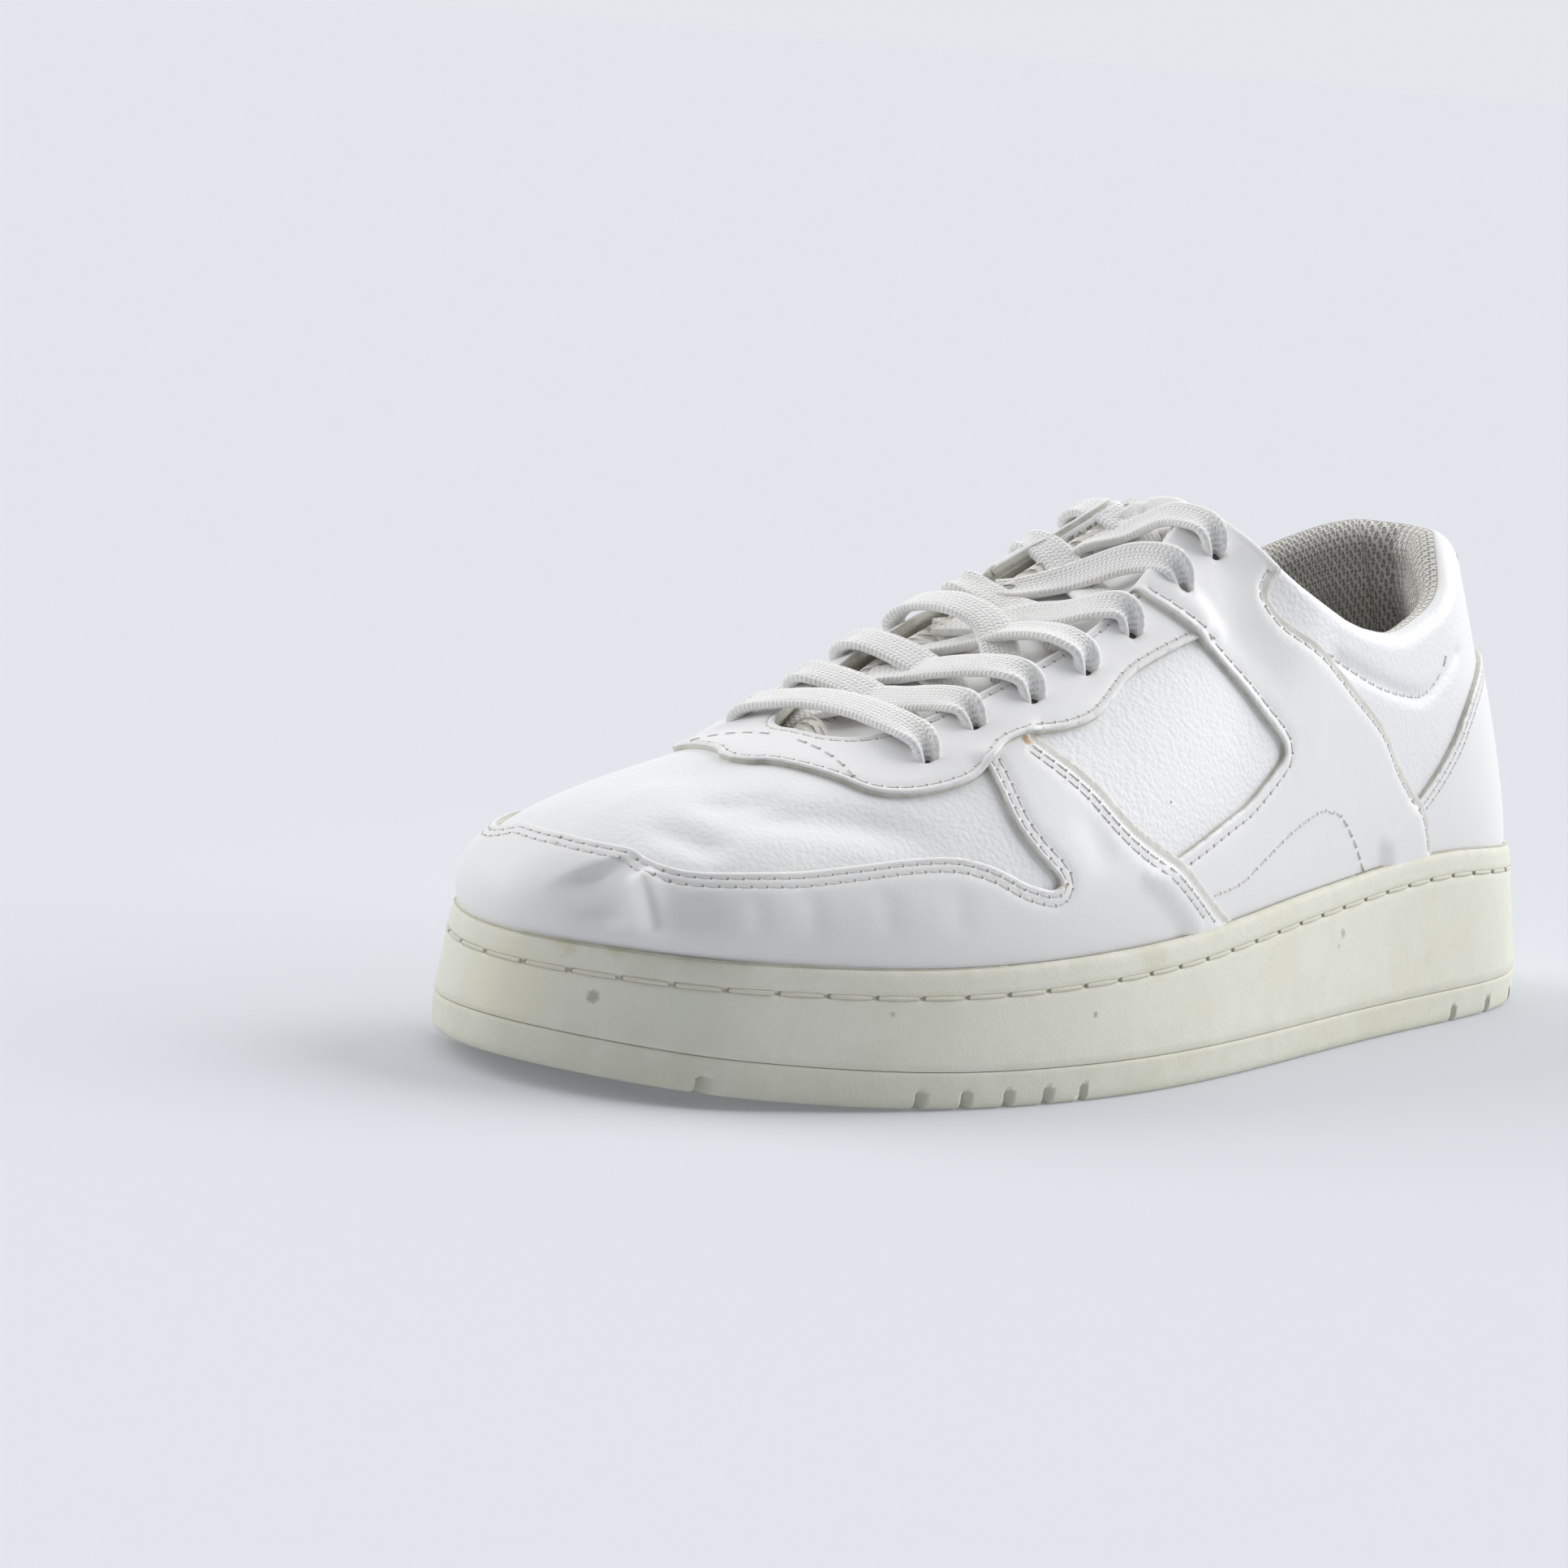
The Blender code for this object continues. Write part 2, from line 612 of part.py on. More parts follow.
# Overlay outlines in hundredths of station and rise, read from heel to toe
GUARD_TOP = ((100, 48.5), (97, 46.8), (95, 43), (92.5, 37.5), (89, 36), (86, 35.2), (83, 35.6),
             (80, 35.8), (77.6, 34.7), (75.5, 32.2), (73.2, 27.3), (71, 21.5), (69.4, 18.6))
GUARD_NOTCH = ((69.4, 18.6), (68.5, 18.4), (68.5, 20.5), (70.3, 28.8), (71.9, 39.1), (73.0, 51.0))
GUARD_STRAP_REAR = ((68.2, 51.0), (65.2, 39.2), (61.9, 27.2), (57.1, 16.0), (52.3, 3.8), (51.4, 2))

EYESTAY_EDGE = ((89, 100), (87.3, 90.6), (85.4, 80.5), (83.4, 71.2), (81.1, 61.6), (78, 55.5),
                (74.5, 52.8), (72.7, 55), (71.4, 57.5), (69, 55.9), (66.9, 53.4), (64.9, 52.4),
                (63.5, 53.4), (61.2, 56.8), (58.6, 57.3), (56.7, 57.0))
EYESTAY_BACK = ((56.7, 57.0), (57.8, 61.5), (58.9, 67.0), (60.2, 73.5))
THROAT_SIDE = ((60.2, 73.5), (64, 72.2), (69, 73.6), (73, 76), (77, 79.6), (80.2, 85),
               (82.0, 92), (82.6, 100))

QUARTER_FRONT = ((59.0, 75.5), (58.2, 70.1), (56.3, 62.2), (54.3, 55.0), (52.4, 48.4), (50.3, 41.9),
                 (48.6, 36.6), (46.9, 31.9), (46.3, 29.5), (46.6, 27.2), (49.8, 22.2), (52.8, 20.2),
                 (56.2, 15.0))
QUARTER_FOOT_FRONT = ((56.2, 15.0), (51.6, 4.5), (50.4, 2))
QUARTER_REAR = ((26.0, 2), (27.3, 11.7), (30.5, 22.0), (33.1, 30.1), (38.1, 38.3), (42.6, 46.1),
                (46.0, 51.9), (47.3, 56.2), (47.5, 58.8), (47.1, 61.5))
QUARTER_TOP = ((47.1, 61.5), (48.3, 67.0), (49.7, 73.0), (51.0, 79.0), (52.3, 83.0), (53.6, 83.5),
               (55.8, 79.5), (59.0, 75.5))

COUNTER_TOP = ((25.2, 20.0), (22.6, 26.0), (20.3, 31.5), (17, 37), (12, 41.5), (6, 44), (0, 45))


def make_overlays(look):
    """Toe guard, eyestay, quarters, heel counter and heel tab, each cut from the last."""
    guard = [GUARD_TOP, GUARD_NOTCH, ((73.0, 51.0), (68.2, 51.0)), GUARD_STRAP_REAR,
             ((51.4, 2), (148.6, 2))]
    other = [mirrored(GUARD_STRAP_REAR, 100), ((131.8, 51.0), (127.0, 51.0)),
             mirrored(GUARD_NOTCH, 100), mirrored(GUARD_TOP, 100)]
    Panel(guard + other).solid("toe_guard", OVERLAY_FOOT, OVERLAY_TOP, look)

    def over(run):
        return [(a, 200 - b) for a, b in reversed(run)]

    eyestay = [EYESTAY_EDGE, EYESTAY_BACK, THROAT_SIDE, over(THROAT_SIDE), over(EYESTAY_BACK),
               over(EYESTAY_EDGE)]
    Panel(eyestay, across=True).solid("eyestay", OVERLAY_FOOT, OVERLAY_TOP, look)

    quarter = [QUARTER_FRONT, QUARTER_FOOT_FRONT, ((50.4, 2), (26.0, 2)), QUARTER_REAR,
               QUARTER_TOP]
    Panel(quarter).solid("quarter_overlay_lateral", OVERLAY_FOOT, OVERLAY_TOP, look)
    medial = [mirrored(run, 0) for run in reversed(quarter)]
    Panel(medial).solid("quarter_overlay_medial", OVERLAY_FOOT, OVERLAY_TOP, look)

    counter = [COUNTER_TOP, mirrored(COUNTER_TOP, 0), ((-25.2, 19.5), (-24.0, 2)),
               ((-24.0, 2), (24.0, 2)), ((24.0, 2), (25.2, 19.5))]
    Panel(counter, step=8.5).solid("heel_counter", OVERLAY_FOOT, OVERLAY_TOP, look)
    tab = [((4.6, 64.5), (4.2, 46.0)), ((4.2, 46.0), (-4.2, 46.0)), ((-4.2, 46.0), (-4.6, 64.5)),
           ((-4.6, 64.5), (4.6, 64.5))]
    Panel(tab).solid("heel_tab", OVERLAY_FOOT, OVERLAY_TOP, look)


def sunk(t, g):
    """How far the worn tongue and the lace on it have sunk between the throat's edges."""
    deep = steady_curve(SUNK_STATION, SUNK_DEPTH)(t)
    half = 1.0 - LAST.top_edge(t)
    return deep * np.clip(1.0 - ((np.asarray(g, float) - 1.0) / half) ** 2, 0.0, 1.0)


def make_tongue(look, label_look):
    """Padded tongue under the throat, and the bare woven patch on its top end."""
    side = ((85.0, 72), (80, 64), (72, 61), (64, 61), (57, 64), (52.5, 71))
    top = ((52.5, 71), (51.2, 79), (50.7, 90), (50.6, 100), (50.7, 110), (51.2, 121), (52.5, 129))
    tongue = [side, top, [(a, 200 - b) for a, b in reversed(side)], ((85.0, 128), (85.0, 72))]
    Panel(tongue, across=True, step=10.0).solid("tongue", -WALL - 6.2, -WALL - 1.4, look, sunk)
    patch = [((52.7, 89.5), (50.4, 89.5)), ((50.4, 89.5), (50.4, 110.5)),
             ((50.4, 110.5), (52.7, 110.5)), ((52.7, 110.5), (52.7, 89.5))]
    Panel(patch, across=True).solid("tongue_label", -WALL - 0.8, -WALL - 0.1, label_look, sunk)


def ribbon(name, path, look):
    """Flat lace along a path of station, girth and height, lying on the last."""
    t, g, h = (np.array(c, float) for c in zip(*path))
    w, v = LAST.across(t, g)
    centre = LAST.raised(w, v, h)
    out = LAST.raised(w, v, h + 1.0) - centre
    along = np.gradient(centre, axis=0)
    sideways = np.cross(along, out)
    sideways /= np.linalg.norm(sideways, axis=-1, keepdims=True)
    half = LACE_WIDTH / 2
    lift = LACE_THICKNESS
    bevel = 1.0
    section = ((-half, lift / 2), (-half + bevel, lift), (half - bevel, lift), (half, lift / 2),
               (half - bevel, 0), (-half + bevel, 0))
    points = [c + s * a + o * b for c, s, o in zip(centre, sideways, out) for a, b in section]
    size = len(section)
    faces = []
    for i in range(len(centre) - 1):
        for k in range(size):
            n = (k + 1) % size
            faces.append((i * size + k, i * size + n, (i + 1) * size + n, (i + 1) * size + k))
    faces.append(tuple(range(size)))
    faces.append(tuple(len(points) - size + k for k in reversed(range(size))))
    return add_solid(name, points, faces, look)


def lace_path(start, end, crest, points=9):
    """Path from under one side of the throat, over the tongue and onto the other eyestay."""
    path = []
    for i in range(points):
        f = i / (points - 1)
        t = start[0] + (end[0] - start[0]) * f
        g = start[1] + (end[1] - start[1]) * f
        hump = math.exp(-((f - 0.43) / 0.22) ** 2)
        rise = steady_curve((0.0, 0.30, 0.55, 0.72, 1.0),
                            (-1.6, -1.5, 0.0, OVERLAY_TOP + 0.4, OVERLAY_TOP + 0.5))(f)
        low = min(float(sunk(t + d, g)) for d in (-0.014, 0.0, 0.014))
        path.append((t, g, float(rise) + crest * hump - low))
    return path


def make_laces(look):
    """The bar at the first eyelets and six crossings, each one joined solid."""
    t, v = EYELETS[0]
    bar = [(t + 0.005 * math.sin(math.pi * i / 8), v + (2 - 2 * v) * i / 8, OVERLAY_TOP + 0.5)
           for i in range(9)]
    ribbon("lace_bar", bar, look)
    for n in range(len(EYELETS) - 1):
        t0, v0 = EYELETS[n]
        t1, v1 = EYELETS[n + 1]
        start = float(LAST.top_edge(t0)) + 0.075
        lower = ribbon(f"lace_crossing_{n + 1}",
                       lace_path((t0 - 0.012, start), (t1, 2 - v1), 0.5), look)
        upper = ribbon(f"lace_upper_{n + 1}",
                       lace_path((t0 - 0.012, 2 - start), (t1, v1), 2.8), look)
        boolean(lower, upper, "UNION")


def main():
    """Build the shoe, one named object for each piece."""
    clear_scene()
    rubber = material("cup rubber", (0.80, 0.78, 0.70), 0.6)
    tread = material("tread rubber", (0.78, 0.76, 0.68), 0.65)
    leather = material("white leather", (0.84, 0.84, 0.83), 0.45)
    overlay = material("overlay leather", (0.83, 0.82, 0.80), 0.45)
    mesh = material("grey lining", (0.58, 0.56, 0.52), 0.85)
    cotton = material("lace cotton", (0.82, 0.80, 0.74), 0.9)
    woven = material("woven patch", (0.85, 0.83, 0.77), 0.85)
    foam = material("footbed", (0.62, 0.60, 0.56), 0.9)
    make_outsole(tread)
    make_cup(rubber)
    make_insole(foam)
    make_upper(leather)
    make_lining(mesh)
    make_overlays(overlay)
    make_tongue(leather, woven)
    make_laces(cotton)


main()
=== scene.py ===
"""Worn white low sneaker, left shoe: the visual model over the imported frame.

The toe points along +X, the outer (lateral) side along +Y, and the floor is at Z 0. Lengths are
millimetres in this file and become metres where a mesh is made. A place on the shoe's surface is
given by its station (0 at the heel back, 1 at the toe tip), its rise (0 at the lip of the cup
sole, 1 at the centre line over the foot) and a height off the last. Round the shoe the stations
go on past the toe: 0 to 100 on the outer side and 100 to 200 back along the inner side.
"""
from __future__ import annotations

import logging
import math
from dataclasses import dataclass
from enum import Enum
from functools import partial
from typing import Any, Callable, Sequence

import bmesh
import bpy
import numpy as np
from mathutils import Matrix, Vector
from mathutils.geometry import delaunay_2d_cdt

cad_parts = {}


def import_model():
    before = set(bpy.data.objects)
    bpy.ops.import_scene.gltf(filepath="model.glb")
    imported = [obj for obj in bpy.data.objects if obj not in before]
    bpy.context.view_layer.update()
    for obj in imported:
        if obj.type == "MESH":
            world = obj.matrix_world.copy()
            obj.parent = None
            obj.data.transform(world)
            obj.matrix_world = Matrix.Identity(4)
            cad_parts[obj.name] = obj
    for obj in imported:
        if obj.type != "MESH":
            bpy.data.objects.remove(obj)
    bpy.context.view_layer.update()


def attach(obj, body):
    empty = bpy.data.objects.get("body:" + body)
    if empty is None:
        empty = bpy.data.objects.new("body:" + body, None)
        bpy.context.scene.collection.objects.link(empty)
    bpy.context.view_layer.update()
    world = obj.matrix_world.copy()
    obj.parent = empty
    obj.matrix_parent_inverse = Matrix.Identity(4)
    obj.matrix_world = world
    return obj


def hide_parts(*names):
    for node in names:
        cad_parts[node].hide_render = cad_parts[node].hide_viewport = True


Array = np.ndarray
Run = Sequence[tuple[float, float]]
Curve = Callable[[Any], Array]

MM = 0.001
HALF_LENGTH = 150.0
TREAD_HEIGHT = 7.0
TOE_SPRING = 4.5
TOE_SPRING_START = 72.0
HEEL_BEVEL = 1.5
HEEL_BEVEL_START = -132.0
CUP_FLOOR = 13.7
WALL = 2.0
LEATHER = 1.25
THREAD_LIFT = 0.05
SEAM_DENT, SEAM_REACH = 0.22, 0.55
PUNCH_DENT, PUNCH_REACH = 0.45, 0.4
OVERLAP_LIFT = 0.92
PATTERN_LENGTH = 345.0
PATTERN_GIRTH = 90.0
PATTERN = np.array((PATTERN_LENGTH, PATTERN_GIRTH))
TUCK = 0.03
RISE_STEP = 0.01
EYELETS = ((76.7, 66.2), (73.0, 68.2), (68.7, 65.8), (64.3, 64.9), (60.0, 66.7), (54.9, 68.7),
           (51.2, 71.7))

log = logging.getLogger("sneaker")


def natural(values: Any) -> Array:
    """Return the values as an array of floats, one row for each knot."""
    table = np.asarray(values, float)
    return table[:, None] if table.ndim == 1 else table


def hermite(f: Array, start: Any, leave: Any, end: Any, arrive: Any) -> Array:
    """Cubic between two values with a slope at each, at shares f of the way."""
    return ((2 * f**3 - 3 * f**2 + 1) * start + (f**3 - 2 * f**2 + f) * leave
            + (3 * f**2 - 2 * f**3) * end + (f**3 - f**2) * arrive)


def closed_spline(knots: Any, values: Any) -> Curve:
    """Make a smooth function through values at knots, closed over the span 0 to 1.

    Args:
        knots: Places of the values, rising from 0 and under 1.
        values: One number or one row for each knot.

    Returns:
        A function from places to rows of values.
    """
    x, y = np.asarray(knots, float), natural(values)
    n = len(x)
    step = np.diff(np.append(x, x[0] + 1.0))
    slope = (np.roll(y, -1, axis=0) - y) / step[:, None]
    system, right = np.zeros((n, n)), np.zeros_like(y)
    for i in range(n):
        system[i, i - 1] += step[i]
        system[i, i] += 2.0 * (step[i - 1] + step[i])
        system[i, (i + 1) % n] += step[i - 1]
        right[i] = 3.0 * (step[i] * slope[i - 1] + step[i - 1] * slope[i])
    tangent = np.linalg.solve(system, right)

    def at(where: Any) -> Array:
        u = np.mod(np.asarray(where, float), 1.0)
        i = np.searchsorted(x, u, side="right") - 1
        k = (i + 1) % n
        h = step[i][..., None]
        f = ((u - x[i]) / step[i])[..., None]
        return hermite(f, y[i], h * tangent[i], y[k], h * tangent[k])

    return at


def steady_curve(knots: Any, values: Any) -> Curve:
    """Make a smooth function through values at knots that never overshoots them.

    Args:
        knots: Rising places of the values.
        values: One number for each knot.

    Returns:
        A function from places to values, held at its ends.
    """
    x, y = np.asarray(knots, float), np.asarray(values, float)
    step = np.diff(x)
    slope = np.diff(y) / step
    tangent = np.zeros(len(x))
    for i in range(1, len(x) - 1):
        if slope[i - 1] * slope[i] > 0:
            w1, w2 = 2 * step[i] + step[i - 1], step[i] + 2 * step[i - 1]
            tangent[i] = (w1 + w2) / (w1 / slope[i - 1] + w2 / slope[i])

    def at(where: Any) -> Array:
        u = np.clip(np.asarray(where, float), x[0], x[-1])
        i = np.clip(np.searchsorted(x, u, side="right") - 1, 0, len(step) - 1)
        f = (u - x[i]) / step[i]
        return hermite(f, y[i], step[i] * tangent[i], y[i + 1], step[i] * tangent[i + 1])

    return at


def smooth_step(low: float, high: float, value: Any) -> Array:
    """Ramp from 0 at low to 1 at high with level ends."""
    f = np.clip((np.asarray(value, float) - low) / (high - low), 0.0, 1.0)
    return f * f * (3.0 - 2.0 * f)


def smooth_run(points: Any, step: float) -> Array:
    """Sample a smooth run through the given points.

    Args:
        points: Two or more points of any one dimension.
        step: Rough spacing of the samples.

    Returns:
        The samples, both ends included.
    """
    p = [np.asarray(q, float) for q in points]
    p = [2 * p[0] - p[1]] + p + [2 * p[-1] - p[-2]]
    made = []
    for a, b, c, d in zip(p, p[1:], p[2:], p[3:]):
        n = max(1, int(math.ceil(np.linalg.norm(c - b) / step)))
        for i in range(n):
            f = i / n
            made.append(0.5 * (2 * b + (c - a) * f + (2 * a - 5 * b + 4 * c - d) * f**2
                               + (3 * b - a - 3 * c + d) * f**3))
    made.append(p[-2])
    return np.array(made)


def travel(line: Array) -> Array:
    """Length gone at each point of a line."""
    return np.append(0.0, np.cumsum(np.linalg.norm(np.diff(line, axis=0), axis=1)))


def sampled(want: Array, along: Array, rows: Array) -> Array:
    """Rows at the wanted lengths, from rows at known lengths along a line."""
    return np.stack([np.interp(want, along, column) for column in rows.T], 1)


def even_run(points: Array, pitch: float, closed: bool = False) -> Array:
    """Place points at an even pitch along a line of points."""
    line = np.vstack([points, points[:1]]) if closed else points
    along = travel(line)
    count = max(2, int(round(along[-1] / pitch)) + (0 if closed else 1))
    want = np.linspace(0.0, along[-1], count, endpoint=not closed)
    return sampled(want, along, line)


def even_by_length(rows: Array, step: float) -> Array:
    """Sample rows evenly by the length of their first three columns."""
    along = travel(rows[:, :3])
    return sampled(np.linspace(0.0, along[-1], max(8, int(along[-1] / step))), along, rows)


def rounded(share: Array) -> Array:
    """Height of a quarter circle at a share of the way in from its foot."""
    return np.sqrt(np.clip(1 - (1 - np.clip(share, 0, 1))**2, 0, 1))


def unit(vectors: Array) -> Array:
    """Scale vectors to length one."""
    return vectors / np.maximum(np.linalg.norm(vectors, axis=-1, keepdims=True), 1e-12)


def distance(points: Array, line: Array, closed: bool = False) -> tuple[Array, Array, Array]:
    """Measure points against a line of segments.

    Args:
        points: Points, one row each.
        line: The line's corners.
        closed: Whether the last corner joins the first.

    Returns:
        The distance to the line, the number of the nearest segment and the share along it.
    """
    start = line if closed else line[:-1]
    end = np.roll(line, -1, axis=0) if closed else line[1:]
    along = end - start
    size = np.maximum((along**2).sum(1), 1e-12)
    best = np.empty((3, len(points)))
    for low in range(0, len(points), 2000):
        p = points[low:low + 2000]
        share = np.clip(((p[:, None] - start) * along).sum(2) / size, 0.0, 1.0)
        gap = ((p[:, None] - start - share[..., None] * along)**2).sum(2)
        i = gap.argmin(1)
        row = np.arange(len(p))
        best[:, low:low + 2000] = np.sqrt(gap[row, i]), i, share[row, i]
    return best[0], best[1].astype(int), best[2]


def inside(points: Array, loop: Array) -> Array:
    """Say which points lie inside a closed loop."""
    hit = np.zeros(len(points), bool)
    for (ax, ay), (bx, by) in zip(loop, np.roll(loop, -1, axis=0)):
        if ay == by:
            continue
        cross = (ay > points[:, 1]) != (by > points[:, 1])
        hit ^= cross & (points[:, 0] < (bx - ax) * (points[:, 1] - ay) / (by - ay) + ax)
    return hit


# The last: the closed form that every piece of the upper follows.
STATION = (0.00, 0.06, 0.13, 0.22, 0.32, 0.42, 0.52, 0.62, 0.71, 0.79, 0.86, 0.93, 1.00)
LATERAL_EDGE = ((-150, 0), (-143, 19), (-125, 34), (-97, 41), (-62, 45.2), (-27, 50.6), (8, 56),
                (42, 58.2), (73, 55), (100, 47), (121, 36.5), (138, 22), (150, -10))
MEDIAL_EDGE = ((-150, 0), (-144, -18), (-127, -32.5), (-99, -37.6), (-64, -36.2), (-30, -37.2),
               (5, -43), (40, -50.9), (73, -55.2), (100, -53.8), (121, -48.6), (138, -38),
               (150, -10))
TABLE_MIDDLE = 1.446
LIP_STATIONS = (-150.0, -90.0, -30.0, 30.0, 90.0, 150.0)
LIP_HEIGHTS = (33.7, 36.8, 33.5, 28.8, 26.6, 28.1)
EDGE_TO_UPPER = (6.5, 6.5, 6.5, 6.5, 6.5, 6.5, 6.4, 6.2, 5.8, 5.3, 4.8, 4.6, 4.5)
CROWN_X = (-108, -101, -89, -75, -60, -45, -20, 12, 44, 72, 92, 108, 113)
CROWN_Y = (0, 0, 0, 0, 1, 2, 3, 3, 3, 2, 0, -3, -5)
CROWN_Z = (128, 129, 130, 131, 130, 124, 110, 95, 80.5, 67, 61, 56, 55)
CROWN_HALF = (0, 12, 18, 24, 25, 17, 0, 0, 0, 0, 0, 0, 0)
FOOT_OUT = (8, -1, -4, 4, 8, 8, 8, 10, 12, 11, 11, 20, 9)
FOOT_UP = (60, 60, 63, 70, 82, 94, 90, 79, 66, 52, 46, 43, 40)
CROWN_BACK = (30, 22, 13, 5, 0, -4, -6, -8, -8, -8, -14, -28, -44)
CROWN_IN = (0, 8, 12, 14, 22, 44, 66, 66, 70, 72, 71, 48, 0)
CROWN_UP = (50, 50, 50, 48, 42, 24, 2, 5, 6, 4, 4, 5, 8)
TOP_STATION = (0.0, 0.04, 0.08, 0.13, 0.18, 0.24, 0.30, 0.34, 0.375, 0.405, 0.435, 0.457, 0.475,
               0.49, 0.502, 0.514, 0.527, 0.55, 0.595, 0.64, 0.69, 0.73, 0.77, 0.795, 0.82, 1.0)
TOP_RISE = (0.670, 0.665, 0.645, 0.605, 0.555, 0.500, 0.468, 0.477, 0.497, 0.529, 0.575, 0.628,
            0.692, 0.755, 0.812, 0.852, 0.868, 0.835, 0.778, 0.748, 0.762, 0.785, 0.820, 0.860,
            0.890, 0.890)
SUNK_STATION = (0.50, 0.53, 0.57, 0.62, 0.67, 0.72, 0.78, 0.85)
SUNK_DEPTH = (0.0, 3.2, 5.8, 6.2, 4.6, 3.4, 2.4, 0.4)


@dataclass(frozen=True)
class Crease:
    """A soft trough or ridge in the leather, along a run of stations and rises.

    Attributes:
        run: Points in hundredths of station (past 100 on the inner side) and rise.
        depth: Height in millimetres, negative for a trough.
        width: Distance at which it has faded to a third.
        ends: Share of its length over which it fades at each end.
    """

    run: Run
    depth: float
    width: float
    ends: float = 0.35


class Last:
    """The closed form under the upper, with the creases of long wear in it."""

    def __init__(self, creases: Sequence[Crease]) -> None:
        """Work out the sections and lay the creases on them."""
        def both(lateral: Any, medial: Any) -> Curve:
            half = np.asarray(STATION) / 2.0
            knots = np.append(half, 1.0 - half[::-1][1:-1])
            return closed_spline(knots, np.vstack([natural(lateral),
                                                   natural(medial)[::-1][1:-1]]))

        def same(table: Any) -> Curve:
            curve = both(table, table)
            return lambda w: curve(w)[..., 0]

        middle = (0.0, TABLE_MIDDLE)
        self.edge = both(natural(LATERAL_EDGE) - middle, natural(MEDIAL_EDGE) - middle)
        self.lip = steady_curve(LIP_STATIONS, LIP_HEIGHTS)
        self.crown_x = same(CROWN_X)
        self.crown_y = same(np.subtract(CROWN_Y, TABLE_MIDDLE))
        self.crown_z = same(CROWN_Z)
        self.foot_out, self.foot_up = same(FOOT_OUT), same(FOOT_UP)
        self.crown_back, self.crown_up = same(CROWN_BACK), same(CROWN_UP)
        self.crown_half = steady_curve(STATION, CROWN_HALF)
        self.crown_in = steady_curve(STATION, CROWN_IN)
        self.edge_to_upper = steady_curve(STATION, EDGE_TO_UPPER)
        self.top_edge = steady_curve(TOP_STATION, TOP_RISE)
        self.creases = []
        for crease in creases:
            a, b = np.array(crease.run, float).T / 100.0
            line = smooth_run(self.point(a / 2.0, b), 3.0)
            self.creases.append((crease, line))

    @staticmethod
    def station(w: Any) -> Array:
        """Station of a place w, which runs 0 to 1 once round the shoe."""
        return 1.0 - np.abs(2.0 * np.mod(w, 1.0) - 1.0)

    def outline(self, w: Any, inset: Any) -> tuple[Array, Array]:
        """Return the plan place w, moved inwards by inset, and its outward direction."""
        w = np.asarray(w, float)
        along = unit(self.edge(w + 1e-4) - self.edge(w - 1e-4))
        out = np.stack([-along[..., 1], along[..., 0]], -1)
        return self.edge(w) - out * np.asarray(inset, float)[..., None], out

    def point(self, w: Any, v: Any) -> Array:
        """Place on the bare form at w round the shoe and rise v."""
        w, v = np.broadcast_arrays(np.asarray(w, float), np.asarray(v, float))
        station = self.station(w)
        side = np.where(np.mod(w, 1.0) <= 0.5, 1.0, -1.0)
        plan, out = self.outline(w, self.edge_to_upper(station))
        foot = np.stack([plan[..., 0], plan[..., 1], self.lip(plan[..., 0])], -1)
        crown = np.stack([self.crown_x(w), self.crown_y(w) + side * self.crown_half(station),
                          self.crown_z(w)], -1)
        lean = self.foot_out(w)
        leave = np.stack([out[..., 0] * lean, out[..., 1] * lean, self.foot_up(w)], -1)
        arrive = np.stack([self.crown_back(w), -side * self.crown_in(station),
                           self.crown_up(w)], -1)
        f = np.clip(v, 0.0, 1.0)[..., None]
        place = hermite(f, foot, leave, crown, arrive)
        place[..., 2] += np.minimum(v, 0.0) * 100.0
        return place

    def climb(self, w: Any, v: Any) -> Array:
        """Way up the bare form over the last small step of rise before v."""
        return self.point(w, v) - self.point(w, v - RISE_STEP)

    def normal(self, w: Any, v: Any) -> Array:
        """Outward direction of the bare form at w and v, shared by both sides at rise 1."""
        w, v = np.broadcast_arrays(np.asarray(w, float), np.asarray(v, float))
        step = 1e-4

        def bare(w: Array, v: Array) -> Array:
            round_shoe = self.point(w + step, v) - self.point(w - step, v)
            return unit(np.cross(self.point(w, v + step) - self.point(w, v - step), round_shoe))

        held = np.minimum(v, 1.0 - step)
        out = bare(w, held)
        centre = (v > 1.0 - 1e-6)[..., None]
        return unit(np.where(centre, out + bare(1.0 - w, held), out))

    def sunk(self, station: Array, girth: Array) -> Array:
        """How far the worn tongue has sunk at a girth, which runs 0 to 2 over the foot."""
        deep = steady_curve(SUNK_STATION, SUNK_DEPTH)(station)
        half = 1.0 - self.top_edge(station)
        return deep * np.clip(1.0 - ((girth - 1.0) / half)**2, 0.0, 1.0)

    def relief(self, place: Array) -> Array:
        """Height of the creases at places on the bare form."""
        flat = place.reshape(-1, 3)
        total = np.zeros(len(flat))
        for crease, line in self.creases:
            reach = 2.6 * crease.width
            near = np.all((flat > line.min(0) - reach) & (flat < line.max(0) + reach), axis=1)
            if not near.any():
                continue
            gap, i, share = distance(flat[near], line)
            along = (i + share) / max(1, len(line) - 1)
            fade = (smooth_step(-0.02, crease.ends, along)
                    * smooth_step(-0.02, crease.ends, 1.0 - along))
            total[near] += crease.depth * fade * np.exp(-(gap / crease.width)**2)
        return total.reshape(place.shape[:-1])

    def raised(self, w: Any, v: Any, height: Any, creased: bool = True) -> Array:
        """Place that stands height off the surface at w and v."""
        w, v, height = np.broadcast_arrays(np.asarray(w, float), np.asarray(v, float),
                                           np.asarray(height, float))
        bare = self.point(w, v)
        if creased:
            height = height + self.relief(bare)
        return bare + self.normal(w, v) * height[..., None]


